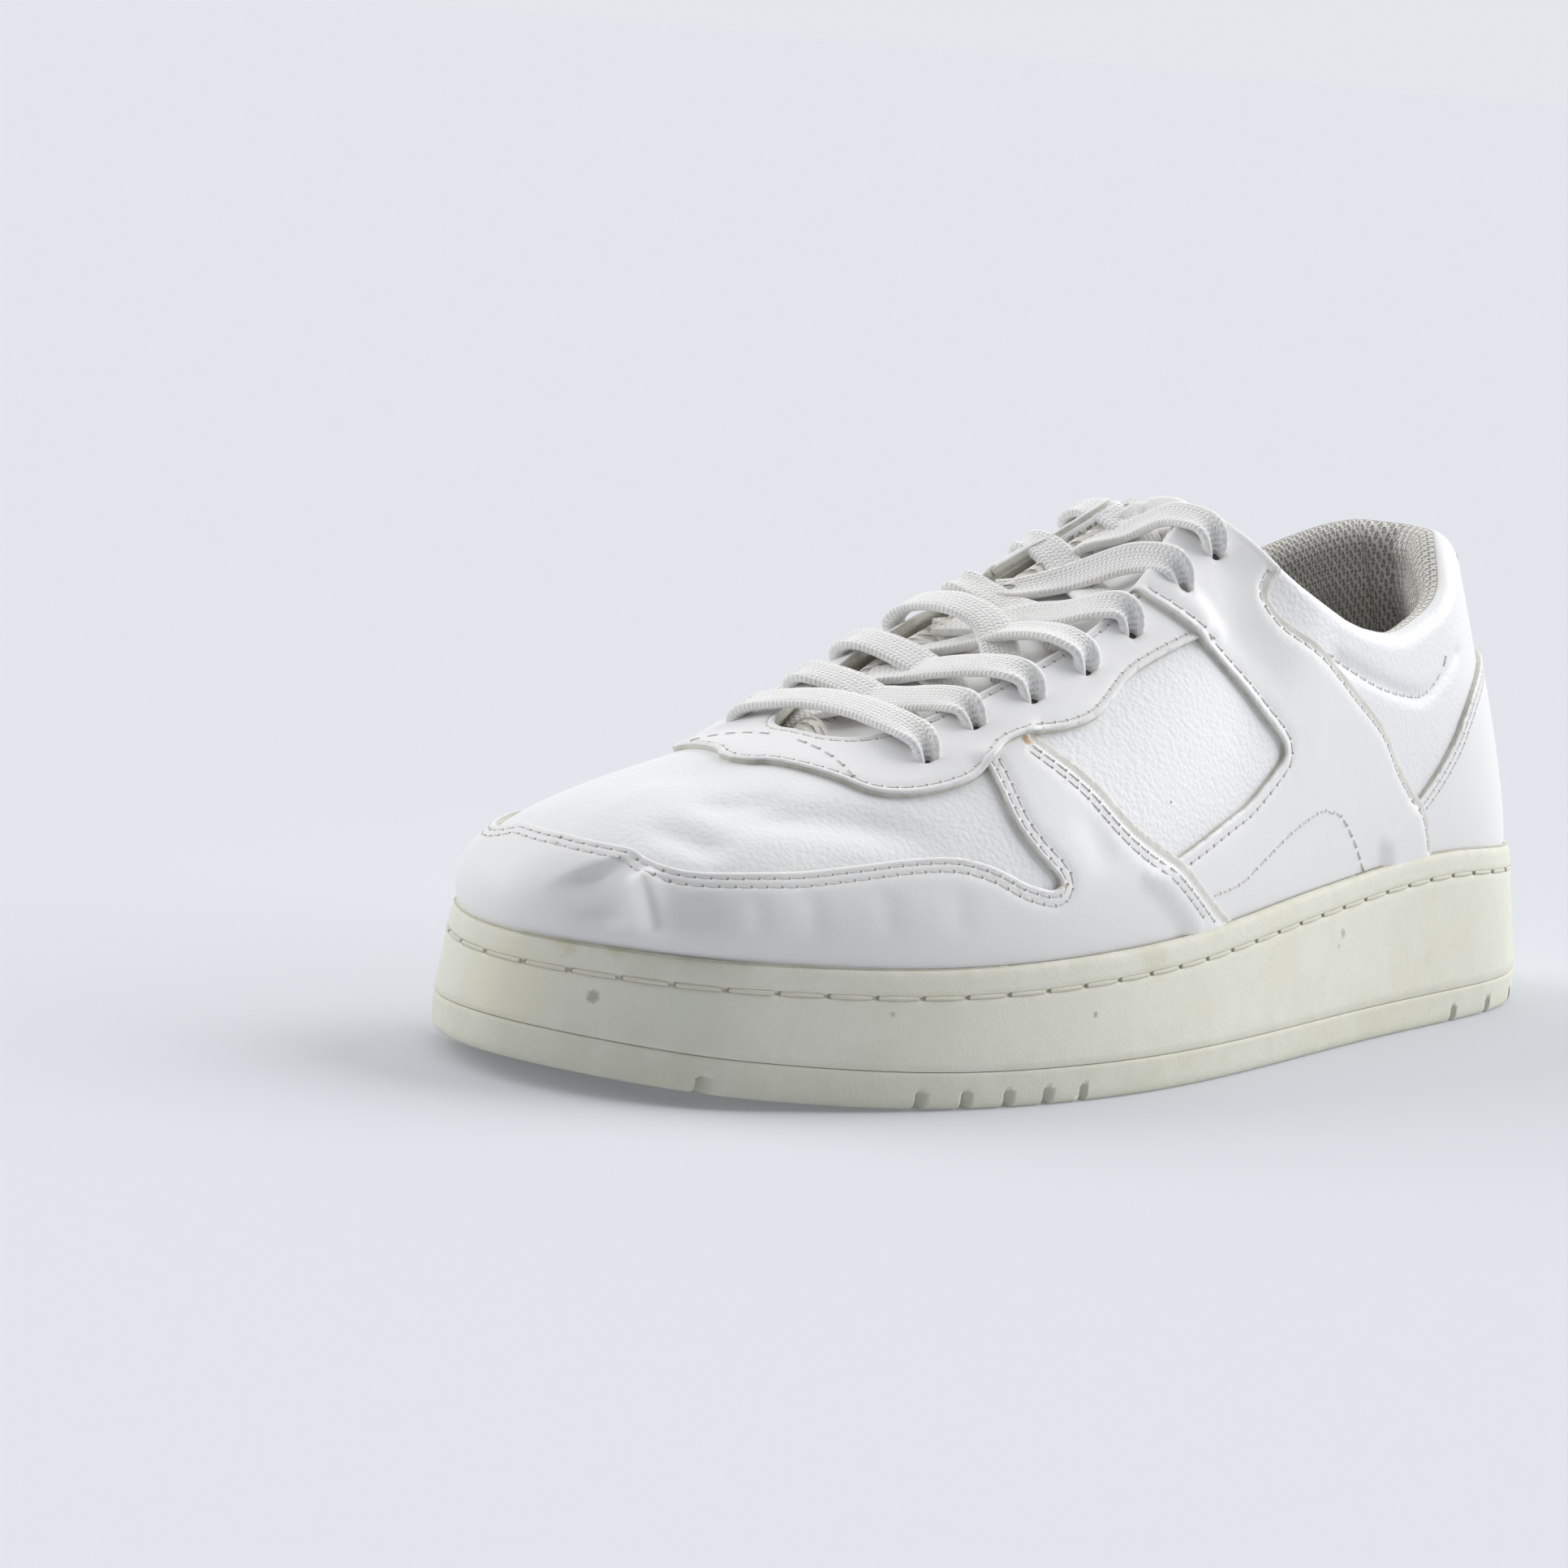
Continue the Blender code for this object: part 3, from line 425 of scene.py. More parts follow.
def pattern(a: Any, b: Any, across: bool) -> tuple[Array, Array]:
    """Turn pattern millimetres into w and v. Across, b runs on over the foot."""
    w = np.asarray(a, float) / (2.0 * PATTERN_LENGTH)
    v = np.asarray(b, float) / PATTERN_GIRTH
    if across:
        return np.where(v <= 1.0, w, 1.0 - w), np.where(v <= 1.0, v, 2.0 - v)
    return w, v


def add_item(name: str, data: Any) -> bpy.types.Object:
    """Make an object of its data and link it to the scene."""
    item = bpy.data.objects.new(name, data)
    bpy.context.scene.collection.objects.link(item)
    return item


def baked(item: bpy.types.Object) -> bpy.types.Mesh:
    """Mesh of an object with its modifiers applied."""
    depsgraph = bpy.context.evaluated_depsgraph_get()
    return bpy.data.meshes.new_from_object(item.evaluated_get(depsgraph))


def make_mesh(name: str, points: Array, faces: Sequence[Sequence[int]],
              finishes: Sequence[bpy.types.Material], look: Sequence[int] | None = None,
              uv: Array | None = None, marks: dict[str, Array] | None = None) -> bpy.types.Object:
    """Make a smooth mesh object at the origin.

    Args:
        name: The object's name.
        points: Vertices in millimetres.
        faces: Vertex numbers of each face.
        finishes: The materials in slot order.
        look: Slot of each face, all 0 if left out.
        uv: A pair for each vertex, kept for each face corner.
        marks: Numbers for each vertex, by attribute name.

    Returns:
        The linked object.
    """
    mesh = bpy.data.meshes.new(name)
    mesh.from_pydata((np.asarray(points, float) * MM).tolist(), [], [tuple(f) for f in faces])
    for key, values in (marks or {}).items():
        layer = mesh.attributes.new(key, "FLOAT", "POINT")
        layer.data.foreach_set("value", np.asarray(values, np.float32))
    if uv is not None:
        corners = np.empty(len(mesh.loops), np.int32)
        mesh.loops.foreach_get("vertex_index", corners)
        layer = mesh.uv_layers.new(name="surface")
        layer.data.foreach_set("uv", np.asarray(uv, np.float32)[corners].ravel())
    mesh.polygons.foreach_set("use_smooth", np.ones(len(mesh.polygons), bool))
    for finish in finishes:
        mesh.materials.append(finish)
    if look is not None:
        mesh.polygons.foreach_set("material_index", np.asarray(look, np.int32))
    form = bmesh.new()
    form.from_mesh(mesh)
    bmesh.ops.recalc_face_normals(form, faces=form.faces)
    if form.calc_volume(signed=True) < 0:
        bmesh.ops.reverse_faces(form, faces=form.faces)
    form.to_mesh(mesh)
    form.free()
    mesh.update()
    return add_item(name, mesh)


def settle(item: bpy.types.Object, slot: str, *nodes: str) -> bpy.types.Object:
    """Ride a piece on the body and hide the CAD nodes it stands for."""
    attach(item, "root")
    if nodes:
        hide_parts(*nodes)
    log.info("%s: %d faces", item.name, len(item.data.polygons))
    return item


def open_rim(faces: Sequence[tuple[int, ...]]) -> list[tuple[int, int]]:
    """Directed edges of triangles that only one of them has."""
    directed = {(f[i], f[(i + 1) % 3]) for f in faces for i in range(3)}
    return [(i, j) for i, j in directed if (j, i) not in directed]


def two_sided(faces: Sequence[tuple[int, ...]], count: int) -> list[tuple[int, ...]]:
    """Faces of a sheet and of its underside, whose numbers are count higher."""
    return list(faces) + [tuple(count + i for i in reversed(f)) for f in faces]


def grid_faces(rows: int, columns: int, closed: bool = False, start: int = 0) -> list[tuple]:
    """Faces of a grid of points, row by row, closed round its columns or not."""
    faces = []
    for i in range(rows - 1):
        for j in range(columns if closed else columns - 1):
            k = (j + 1) % columns
            faces.append((start + i * columns + j, start + i * columns + k,
                          start + (i + 1) * columns + k, start + (i + 1) * columns + j))
    return faces


def add_node(tree: bpy.types.NodeTree, kind: str, settings: dict[str, Any] | None = None,
             sockets: dict[Any, Any] | None = None) -> bpy.types.Node:
    """Add a node, set its settings first, then the values or links of its sockets."""
    made = tree.nodes.new(kind)
    for key, value in (settings or {}).items():
        setattr(made, key, value)
    for key, value in (sockets or {}).items():
        value = value.socket if isinstance(value, Value) else value
        if isinstance(value, bpy.types.NodeSocket):
            tree.links.new(value, made.inputs[key])
        else:
            made.inputs[key].default_value = value
    return made


def arithmetic(operation: str, swapped: bool = False) -> Callable[..., "Value"]:
    """Make a method that adds a Math node, with its operands swapped or not."""
    def method(self: "Value", *others: Any) -> "Value":
        operands = (*others, self) if swapped else (self, *others)
        return self.graph.value("ShaderNodeMath", {"operation": operation},
                                dict(enumerate(operands)))

    return method


class Value:
    """A socket of a shader tree that takes part in sums."""

    __add__, __radd__ = arithmetic("ADD"), arithmetic("ADD", True)
    __sub__, __rsub__ = arithmetic("SUBTRACT"), arithmetic("SUBTRACT", True)
    __mul__, __rmul__ = arithmetic("MULTIPLY"), arithmetic("MULTIPLY", True)
    __truediv__, remainder = arithmetic("DIVIDE"), arithmetic("MODULO")
    sine, size, floor = arithmetic("SINE"), arithmetic("ABSOLUTE"), arithmetic("FLOOR")

    def __init__(self, graph: "Graph", socket: bpy.types.NodeSocket) -> None:
        """Wrap a socket of the graph."""
        self.graph, self.socket = graph, socket

    def fold(self, period: float) -> "Value":
        """Fold into one period, from 0 to period."""
        return arithmetic("WRAP")(self, period, 0.0)

    def ramp(self, low: float, high: float) -> "Value":
        """Ramp smoothly from 0 at low to 1 at high."""
        return self.graph.value("ShaderNodeMapRange", {"interpolation_type": "SMOOTHSTEP"},
                                {"Value": self, "From Min": low, "From Max": high})


class Graph:
    """The node tree of one material."""

    def __init__(self, name: str) -> None:
        """Start a material with an empty Principled shader."""
        self.material = bpy.data.materials.new(name)
        self.material.use_nodes = True
        self.tree = self.material.node_tree
        self.shader = self.tree.nodes["Principled BSDF"]

    def node(self, kind: str, *details: dict[Any, Any]) -> bpy.types.Node:
        """Add a node with its settings and sockets."""
        return add_node(self.tree, kind, *details)

    def value(self, kind: str, settings: dict[str, Any], sockets: dict[Any, Any],
              out: Any = 0) -> Value:
        """Add a node and wrap one of its outputs."""
        return Value(self, self.node(kind, settings, sockets).outputs[out])

    def place(self) -> Value:
        """Object coordinates in metres."""
        return self.value("ShaderNodeTexCoord", {}, {}, "Object")

    def surface(self) -> tuple[Value, Value]:
        """The two numbers of the piece's own UV map."""
        split = self.node("ShaderNodeSeparateXYZ", {},
                          {0: self.value("ShaderNodeUVMap", {"uv_map": "surface"}, {})})
        return Value(self, split.outputs[0]), Value(self, split.outputs[1])

    def mark(self, name: str) -> Value:
        """A number attribute of the mesh."""
        return self.value("ShaderNodeAttribute", {"attribute_name": name}, {}, "Fac")

    def noise(self, size: float, detail: float = 3.0, rough: float = 0.5) -> Value:
        """Soft noise whose features are about size millimetres, on places in metres."""
        return self.value("ShaderNodeTexNoise", {}, {
            "Vector": self.place(), "Scale": 1.0 / (size * MM), "Detail": detail,
            "Roughness": rough})

    def cells(self, size: float, where: Value | None = None) -> Value:
        """Distance pattern of cells that are about size millimetres across."""
        return self.value("ShaderNodeTexVoronoi", {}, {
            "Vector": where or self.place(), "Scale": 1.0 / (size * MM)}, "Distance")

    def spot(self, centre: Sequence[float], radius: float) -> Value:
        """Mask of a round spot with a ragged edge, centre and radius in millimetres."""
        away = self.value("ShaderNodeVectorMath", {"operation": "DISTANCE"}, {
            0: self.place(), 1: tuple(c * MM for c in centre)}, "Value")
        ragged = away / (radius * MM) + (self.noise(radius * 0.5, 3.0, 0.6) - 0.5) * 1.1
        return 1.0 - ragged.ramp(0.4, 1.0)

    def mix(self, factor: Any, first: Any, second: Any) -> Value:
        """Mix two colours."""
        made = self.node("ShaderNodeMix", {"data_type": "RGBA"}, {"Factor": factor})
        for key, value in (("A", first), ("B", second)):
            socket = [s for s in made.inputs if s.name == key and s.type == "RGBA"][0]
            if isinstance(value, Value):
                self.tree.links.new(value.socket, socket)
            else:
                socket.default_value = (*value, 1.0)
        return Value(self, [s for s in made.outputs if s.type == "RGBA"][0])

    def stain(self, colour: Any, spots: Sequence["Spot"]) -> Value:
        """Lay stains over a colour."""
        for spot in spots:
            colour = self.mix(self.spot(spot.centre, spot.radius) * spot.strength, colour,
                              spot.colour)
        return colour

    def finish(self, colour: Any, rough: Any, bumps: Sequence[tuple[Value, float]] = (),
               **fixed: float) -> bpy.types.Material:
        """Feed the shader.

        Args:
            colour: Base colour, fixed or varying.
            rough: Roughness, fixed or varying.
            bumps: Height patterns from 0 to 1 with their depths in millimetres.
            fixed: Other sockets of the shader with one value all over.

        Returns:
            The finished material.
        """
        for key, value in (("Base Color", colour), ("Roughness", rough)):
            socket = self.shader.inputs[key]
            if isinstance(value, Value):
                self.tree.links.new(value.socket, socket)
            else:
                socket.default_value = (*value, 1.0) if key == "Base Color" else value
        normal = None
        for height, depth in bumps:
            sockets = {"Height": height, "Distance": depth * MM, "Strength": 1.0}
            if normal is not None:
                sockets["Normal"] = normal
            normal = self.value("ShaderNodeBump", {}, sockets)
        if normal is not None:
            self.tree.links.new(normal.socket, self.shader.inputs["Normal"])
        for key, value in fixed.items():
            self.shader.inputs[key.replace("_", " ")].default_value = value
        return self.material


class Grain(Enum):
    """How a leather's surface is printed."""

    SMOOTH = "smooth"
    PEBBLED = "pebbled"


@dataclass(frozen=True)
class Spot:
    """A stain: its centre, radius, colour and strength."""

    centre: tuple[float, float, float]
    radius: float
    colour: tuple[float, float, float]
    strength: float = 0.8


@dataclass(frozen=True)
class Leather:
    """Coated white leather with its grain, soft soiling, stains and painted shade where a mesh's
    shade mark is.
    """

    name: str
    colour: tuple[float, float, float]
    grain: Grain = Grain.SMOOTH
    rough: float = 0.42
    spots: tuple[Spot, ...] = ()

    def build(self) -> bpy.types.Material:
        """Make the material."""
        g = Graph(self.name)
        soil = g.noise(22.0, 4.0, 0.6).ramp(0.45, 0.75)
        colour = g.mix(soil * 0.35, self.colour, tuple(c * 0.965 for c in self.colour))
        fine = g.noise(0.9, 3.0, 0.6)
        colour = g.mix(fine.ramp(0.6, 0.85) * 0.12, colour, (0.66, 0.66, 0.64))
        # Painted shade: near black where the mesh's shade mark is, in place of the eyelet holes
        # that are not cut through the upper's wall.
        eyelet_shade = g.mark("shade")
        colour = g.mix(eyelet_shade, colour, (0.055, 0.052, 0.047))
        colour = g.stain(colour, self.spots)
        if self.grain is Grain.PEBBLED:
            warped = g.value("ShaderNodeVectorMath", {"operation": "MULTIPLY_ADD"}, {
                0: g.value("ShaderNodeTexNoise", {}, {"Vector": g.place(), "Scale": 600.0},
                           "Color"),
                1: (0.0009, 0.0009, 0.0009), 2: g.place()})
            pebble = g.cells(1.15, warped)
            bumps = [(g.noise(7.0, 3.0), 0.06), (1.0 - pebble, 0.085), (fine, 0.02)]
        else:
            bumps = [(g.noise(9.0, 4.0, 0.55), 0.10), (g.cells(0.7), 0.012), (fine, 0.012)]
        rough = self.rough + (g.noise(14.0, 3.0) - 0.5) * 0.12
        return g.finish(colour, rough, bumps, Specular_IOR_Level=0.38)


@dataclass(frozen=True)
class CutEdge:
    """Raw edge of a leather panel, fibrous and a little soiled."""

    name: str
    colour: tuple[float, float, float]
    soil: tuple[float, float, float]

    def build(self) -> bpy.types.Material:
        """Make the material."""
        g = Graph(self.name)
        patch = g.noise(3.2, 5.0, 0.65).ramp(0.40, 0.68)
        colour = g.mix(patch, self.colour, self.soil)
        return g.finish(colour, 0.85, [(g.noise(0.45, 3.0, 0.6), 0.14)])


@dataclass(frozen=True)
class Rubber:
    """Off-white rubber with its moulded skin, yellowing and rubbed-in dirt."""

    name: str
    colour: tuple[float, float, float]
    aged: tuple[float, float, float]
    hatch: bool = False
    spots: tuple[Spot, ...] = ()

    def build(self) -> bpy.types.Material:
        """Make the material."""
        g = Graph(self.name)
        u, v = g.surface()
        patch = g.noise(26.0, 4.0, 0.6).ramp(0.38, 0.70)
        colour = g.mix(patch * 0.55, self.colour, self.aged)
        speck = g.noise(0.8, 4.0, 0.7).ramp(0.60, 0.80)
        colour = g.mix(speck * 0.16, colour, (0.42, 0.40, 0.33))
        colour = g.mix(g.mark("soil") * g.noise(6.0, 4.0, 0.65).ramp(0.30, 0.70) * 0.6, colour,
                       (0.60, 0.58, 0.45))
        colour = g.stain(colour, self.spots)
        bumps = [(g.noise(0.55, 4.0, 0.65), 0.11), (g.noise(5.0, 2.0), 0.10)]
        if self.hatch:
            ridge = ((u - v * 0.9) * (2.0 * math.pi / 1.35)).sine() * 0.5 + 0.5
            bumps.append((ridge * g.mark("hatch"), 0.16))
        return g.finish(colour, 0.62, bumps, Specular_IOR_Level=0.35)


@dataclass(frozen=True)
class Knit:
    """Grey spacer knit with slanted holes, painted darker inside as shade, on pattern millimetres.
    """

    name: str
    colour: tuple[float, float, float]
    hole_shade: tuple[float, float, float]
    across: float = 1.7
    along: float = 3.1

    def build(self) -> bpy.types.Material:
        """Make the material."""
        g = Graph(self.name)
        u, v = g.surface()
        u = u + (v / self.along * math.pi * 2.0).sine() * 0.12
        column = u / self.across
        shift = column.floor().remainder(2.0)
        x = (column.fold(1.0) - 0.5) * self.across
        y = ((v / self.along + shift * 0.5).fold(1.0) - 0.5) * self.along
        slant = (x - y * 0.16) / 0.52
        hole = (slant * slant + (y / 1.25) * (y / 1.25))
        depth = 1.0 - hole.ramp(0.25, 1.25)
        fibre = ((v * 7.2 + (x.size() * 5.0)).sine() * 0.5 + 0.5)
        fuzz = g.noise(0.30, 3.0, 0.6)
        colour = g.mix(fibre * 0.30 + fuzz * 0.25, self.colour,
                       tuple(c * 0.80 for c in self.colour))
        # Painted shade: the holes darken towards their middle, where the bump is deepest.
        colour = g.mix(depth * 0.85, colour, self.hole_shade)
        return g.finish(colour, 0.92, [(1.0 - depth, 0.55), (fibre, 0.10), (fuzz, 0.06)],
                        Specular_IOR_Level=0.2)


@dataclass(frozen=True)
class Braid:
    """Flat cotton braid, on a map of millimetres round and along the lace."""

    name: str
    colour: tuple[float, float, float]
    plait: float = 1.05

    def build(self) -> bpy.types.Material:
        """Make the material."""
        g = Graph(self.name)
        u, v = g.surface()
        side = (u.fold(2.0) - 1.0).size()
        chevron = ((v / self.plait + side * 0.55) * (2.0 * math.pi)).sine() * 0.5 + 0.5
        groove = (side * math.pi).sine()
        fuzz = g.noise(0.35, 4.0, 0.65)
        colour = g.mix(fuzz.ramp(0.35, 0.75) * 0.40, self.colour,
                       tuple(c * 0.90 for c in self.colour))
        # Painted shade: the plait's valleys, where the chevron bump is low, are a little darker.
        colour = g.mix((1.0 - chevron) * 0.10, colour, tuple(c * 0.72 for c in self.colour))
        colour = g.mix(g.noise(16.0, 3.0).ramp(0.5, 0.8) * 0.30, colour, (0.82, 0.78, 0.69))
        return g.finish(colour, 0.92, [(chevron, 0.13), (groove, 0.10), (fuzz, 0.10)],
                        Specular_IOR_Level=0.15, Sheen_Weight=0.15)


@dataclass(frozen=True)
class Cloth:
    """Plain woven or felted stuff: footbed, patch, foam, thread, or the painted shade of a stitch
    hole.
    """

    name: str
    colour: tuple[float, float, float]
    other: tuple[float, float, float]
    size: float = 0.6
    depth: float = 0.10
    rough: float = 0.9

    def build(self) -> bpy.types.Material:
        """Make the material."""
        g = Graph(self.name)
        fuzz = g.noise(self.size, 4.0, 0.6)
        colour = g.mix(fuzz.ramp(0.35, 0.7), self.colour, self.other)
        return g.finish(colour, self.rough, [(fuzz, self.depth)], Specular_IOR_Level=0.2)


class StitchTree:
    """Geometry Nodes that lay one stitch at each point of a mesh, with a dark disc of painted shade
    for the needle hole at its far end.
    """

    def __init__(self, name: str, thread: bpy.types.Material, hole: bpy.types.Material) -> None:
        """Build the tree with its named inputs."""
        tree = bpy.data.node_groups.new(name, "GeometryNodeTree")
        self.tree = tree
        face = tree.interface
        face.new_socket("Geometry", in_out="INPUT", socket_type="NodeSocketGeometry")
        self.inputs = {}
        for key in ("Stitch length", "Thread radius", "Arch", "Hole radius", "Sink"):
            socket = face.new_socket(key, in_out="INPUT", socket_type="NodeSocketFloat")
            self.inputs[key] = socket.identifier
        face.new_socket("Geometry", in_out="OUTPUT", socket_type="NodeSocketGeometry")
        source = tree.nodes.new("NodeGroupInput")
        target = tree.nodes.new("NodeGroupOutput")
        link, add = tree.links.new, partial(add_node, tree)

        def sums(operation: str, a: Any, b: Any) -> bpy.types.NodeSocket:
            return add("ShaderNodeMath", {"operation": operation}, {0: a, 1: b}).outputs[0]

        def joined(x: Any, y: Any, z: Any) -> bpy.types.NodeSocket:
            return add("ShaderNodeCombineXYZ", {}, {0: x, 1: y, 2: z}).outputs[0]

        half = sums("MULTIPLY", source.outputs["Stitch length"], 0.5)
        down = sums("MULTIPLY", source.outputs["Sink"], -1.0)
        arch = add("GeometryNodeCurveQuadraticBezier", {}, {
            "Resolution": 6, "Start": joined(sums("MULTIPLY", half, -1.0), 0.0, down),
            "Middle": joined(0.0, 0.0, source.outputs["Arch"]), "End": joined(half, 0.0, down)})
        ring = add("GeometryNodeCurvePrimitiveCircle", {"mode": "RADIUS"}, {
            "Resolution": 6, "Radius": source.outputs["Thread radius"]})
        body = add("GeometryNodeCurveToMesh", {}, {
            "Curve": arch.outputs[0], "Profile Curve": ring.outputs[0], "Fill Caps": True})
        round_off = add("GeometryNodeSetShadeSmooth", {}, {"Geometry": body.outputs[0]})
        threaded = add("GeometryNodeSetMaterial", {}, {
            "Geometry": round_off.outputs[0], "Material": thread})
        # Painted shade: a flat dark disc just over the leather at the stitch's far end stands in
        # for the shadow inside its needle hole.
        pit_shade = add("GeometryNodeMeshCircle", {"fill_type": "NGON"}, {
            "Vertices": 8, "Radius": source.outputs["Hole radius"]})
        moved = add("GeometryNodeTransform", {}, {
            "Geometry": pit_shade.outputs[0], "Translation": joined(half, 0.0, 0.00004)})
        pit_shade_disc = add("GeometryNodeSetMaterial", {}, {
            "Geometry": moved.outputs[0], "Material": hole})
        one = add("GeometryNodeJoinGeometry")
        link(threaded.outputs[0], one.inputs[0])
        link(pit_shade_disc.outputs[0], one.inputs[0])
        along = add("GeometryNodeInputNamedAttribute", {"data_type": "FLOAT_VECTOR"},
                    {"Name": "along"})
        out = add("GeometryNodeInputNamedAttribute", {"data_type": "FLOAT_VECTOR"},
                  {"Name": "out"})
        turn = add("FunctionNodeAxesToRotation", {"primary_axis": "Z", "secondary_axis": "X"}, {
            0: out.outputs[0], 1: along.outputs[0]})
        laid = add("GeometryNodeInstanceOnPoints", {}, {
            "Points": source.outputs["Geometry"], "Instance": one.outputs[0],
            "Rotation": turn.outputs[0]})
        real = add("GeometryNodeRealizeInstances", {}, {"Geometry": laid.outputs[0]})
        link(real.outputs[0], target.inputs[0])

    def lay(self, name: str, rows: Sequence[tuple[Array, Array, Array]],
            **sizes: float) -> bpy.types.Object:
        """Lay stitches and make them a plain mesh.

        Args:
            name: Name of the made object.
            rows: For each row the places, directions and outward directions of its stitches.
            sizes: The tree's inputs in millimetres, with underscores for spaces.

        Returns:
            The mesh object.
        """
        points, along, out = (np.vstack(part) for part in zip(*rows))
        mesh = bpy.data.meshes.new(name + "_points")
        mesh.from_pydata((points * MM).tolist(), [], [])
        for key, values in (("along", along), ("out", out)):
            layer = mesh.attributes.new(key, "FLOAT_VECTOR", "POINT")
            layer.data.foreach_set("vector", np.asarray(values, np.float32).ravel())
        holder = add_item(name + "_points", mesh)
        step = holder.modifiers.new("stitches", "NODES")
        step.node_group = self.tree
        for key, value in sizes.items():
            step[self.inputs[key.replace("_", " ")]] = value * MM
        made = baked(holder)
        made.name = name
        item = add_item(name, made)
        bpy.data.objects.remove(holder, do_unlink=True)
        return item


class Edge(Enum):
    """How one side of a panel ends."""

    CUT = 0.0
    SKIVED = 1.0


@dataclass(frozen=True)
class Side:
    """One side of a panel.

    Attributes:
        run: Points in hundredths of station and rise.
        edge: How it ends.
        rows: Distances of its stitch rows from the edge.
    """

    run: Run
    edge: Edge = Edge.CUT
    rows: tuple[float, ...] = ()

    def inner(self, across: bool = False) -> "Side":
        """The same side on the shoe's inner side."""
        return Side(inner(self.run, across), self.edge, self.rows)


@dataclass
class Panel:
    """A leather panel on the shoe's surface, cut to an outline of smooth sides.

    Attributes:
        last: The form under it.
        name: Name of the made object.
        sides: Its sides in order.
        across: Whether the rises go on over the foot to 200 on the inner side.
        holes: Centres of punched holes, in the same numbers as the sides.
        hole_radius: Their radius.
        thickness: Its thickness.
        step: Size of its faces.
        strip: Width of the skived strip along a skived side.
        under: Panels that lie under this one, which lift it.
    """

    last: Last
    name: str
    sides: Sequence[Side]
    across: bool = False
    holes: Sequence[tuple[float, float]] = ()
    hole_radius: float = 2.1
    thickness: float = LEATHER
    step: float = 1.3
    strip: float = 2.1
    under: tuple["Panel", ...] = ()

    def __post_init__(self) -> None:
        """Work out the outline on the flat pattern, with the skive of each corner."""
        scale = PATTERN / 100.0
        flat = [smooth_run(np.asarray(side.run, float) * scale, 0.9) for side in self.sides]
        x, y = np.vstack([f[:-1] for f in flat]).T
        self.turn = 1.0 if (x * np.roll(y, -1) - y * np.roll(x, -1)).sum() > 0 else -1.0
        self.loop = np.column_stack([x, y])
        self.skive = np.concatenate([np.full(len(f) - 1, side.edge.value)
                                     for f, side in zip(flat, self.sides)])
        self.metric = self.stretch(self.loop)
        turn = np.linspace(0, 2 * math.pi, 20, endpoint=False)
        hole = np.column_stack([np.cos(turn), np.sin(turn)]) * self.hole_radius
        self.punched = [hole + centre * scale
                        for centre in np.asarray(self.holes, float).reshape(-1, 2)]
        sewn: list[tuple[tuple[float, ...], Array]] = []
        for f, side in zip(flat, self.sides):
            if side.rows and sewn and sewn[-1][0] == side.rows and np.allclose(
                    sewn[-1][1][-1], f[0]):
                sewn[-1] = (side.rows, np.vstack([sewn[-1][1], f[1:]]))
            elif side.rows:
                sewn.append((side.rows, f))
        self.row_lines = [self.inset(line, depth) for rows, line in sewn for depth in rows]
        self.row_depths = [depth for rows, _ in sewn for depth in rows]

    def stretch(self, flat: Array) -> Array:
        """How pattern millimetres turn into places: a 3 by 2 table for each point."""
        made = []
        for step in ((0.2, 0.0), (0.0, 0.2)):
            ends = [self.last.point(*pattern(*(flat + sign * np.array(step)).T, self.across))
                    for sign in (1.0, -1.0)]
            made.append((ends[0] - ends[1]) / 0.4)
        return np.stack(made, -1)

    def inset(self, line: Array, depth: float, closed: bool = False) -> Array:
        """A line of the outline moved inwards by a real depth, clear of its corners."""
        if closed:
            ahead = np.roll(line, -1, axis=0) - np.roll(line, 1, axis=0)
        else:
            ahead = np.gradient(line, axis=0)
        across = np.stack([-ahead[:, 1], ahead[:, 0]], 1) * self.turn
        jacobian = self.stretch(line)
        metric = np.einsum("nki,nkj->nij", jacobian, jacobian)
        inward = np.linalg.solve(metric, across[..., None])[..., 0]
        real = np.sqrt(np.einsum("ni,nij,nj->n", inward, metric, inward))
        moved = line + inward / np.maximum(real, 1e-9)[:, None] * depth
        gap = self.reach(moved)[0]
        return moved[gap > 0.90 * depth]

    def reach(self, flat: Array) -> tuple[Array, Array]:
        """Real distance of pattern points inside the outline, negative outside, and the skive."""
        gap, i, share = distance(flat, self.loop, closed=True)
        k = (i + 1) % len(self.loop)
        foot = self.loop[i] * (1 - share)[:, None] + self.loop[k] * share[:, None]
        jacobian = self.metric[i] * (1 - share)[:, None, None] + (
            self.metric[k] * share[:, None, None])
        real = np.linalg.norm(np.einsum("nij,nj->ni", jacobian, flat - foot), axis=1)
        skive = (1 - share) * self.skive[i] + share * self.skive[k]
        return np.where(inside(flat, self.loop), real, -real), skive

    def from_round(self, flat: Array) -> Array:
        """Turn points of the pattern round the shoe into this panel's pattern."""
        if self.across:
            return other_side(flat, flat[:, 0] > PATTERN_LENGTH)
        turns = np.round((flat[:, 0] - self.loop[:, 0].mean()) / (2 * PATTERN_LENGTH))
        return np.column_stack([flat[:, 0] - 2 * PATTERN_LENGTH * turns, flat[:, 1]])

    def to_round(self, flat: Array) -> Array:
        """Turn this panel's pattern points into those of the pattern round the shoe."""
        return other_side(flat, flat[:, 1] > PATTERN_GIRTH) if self.across else flat

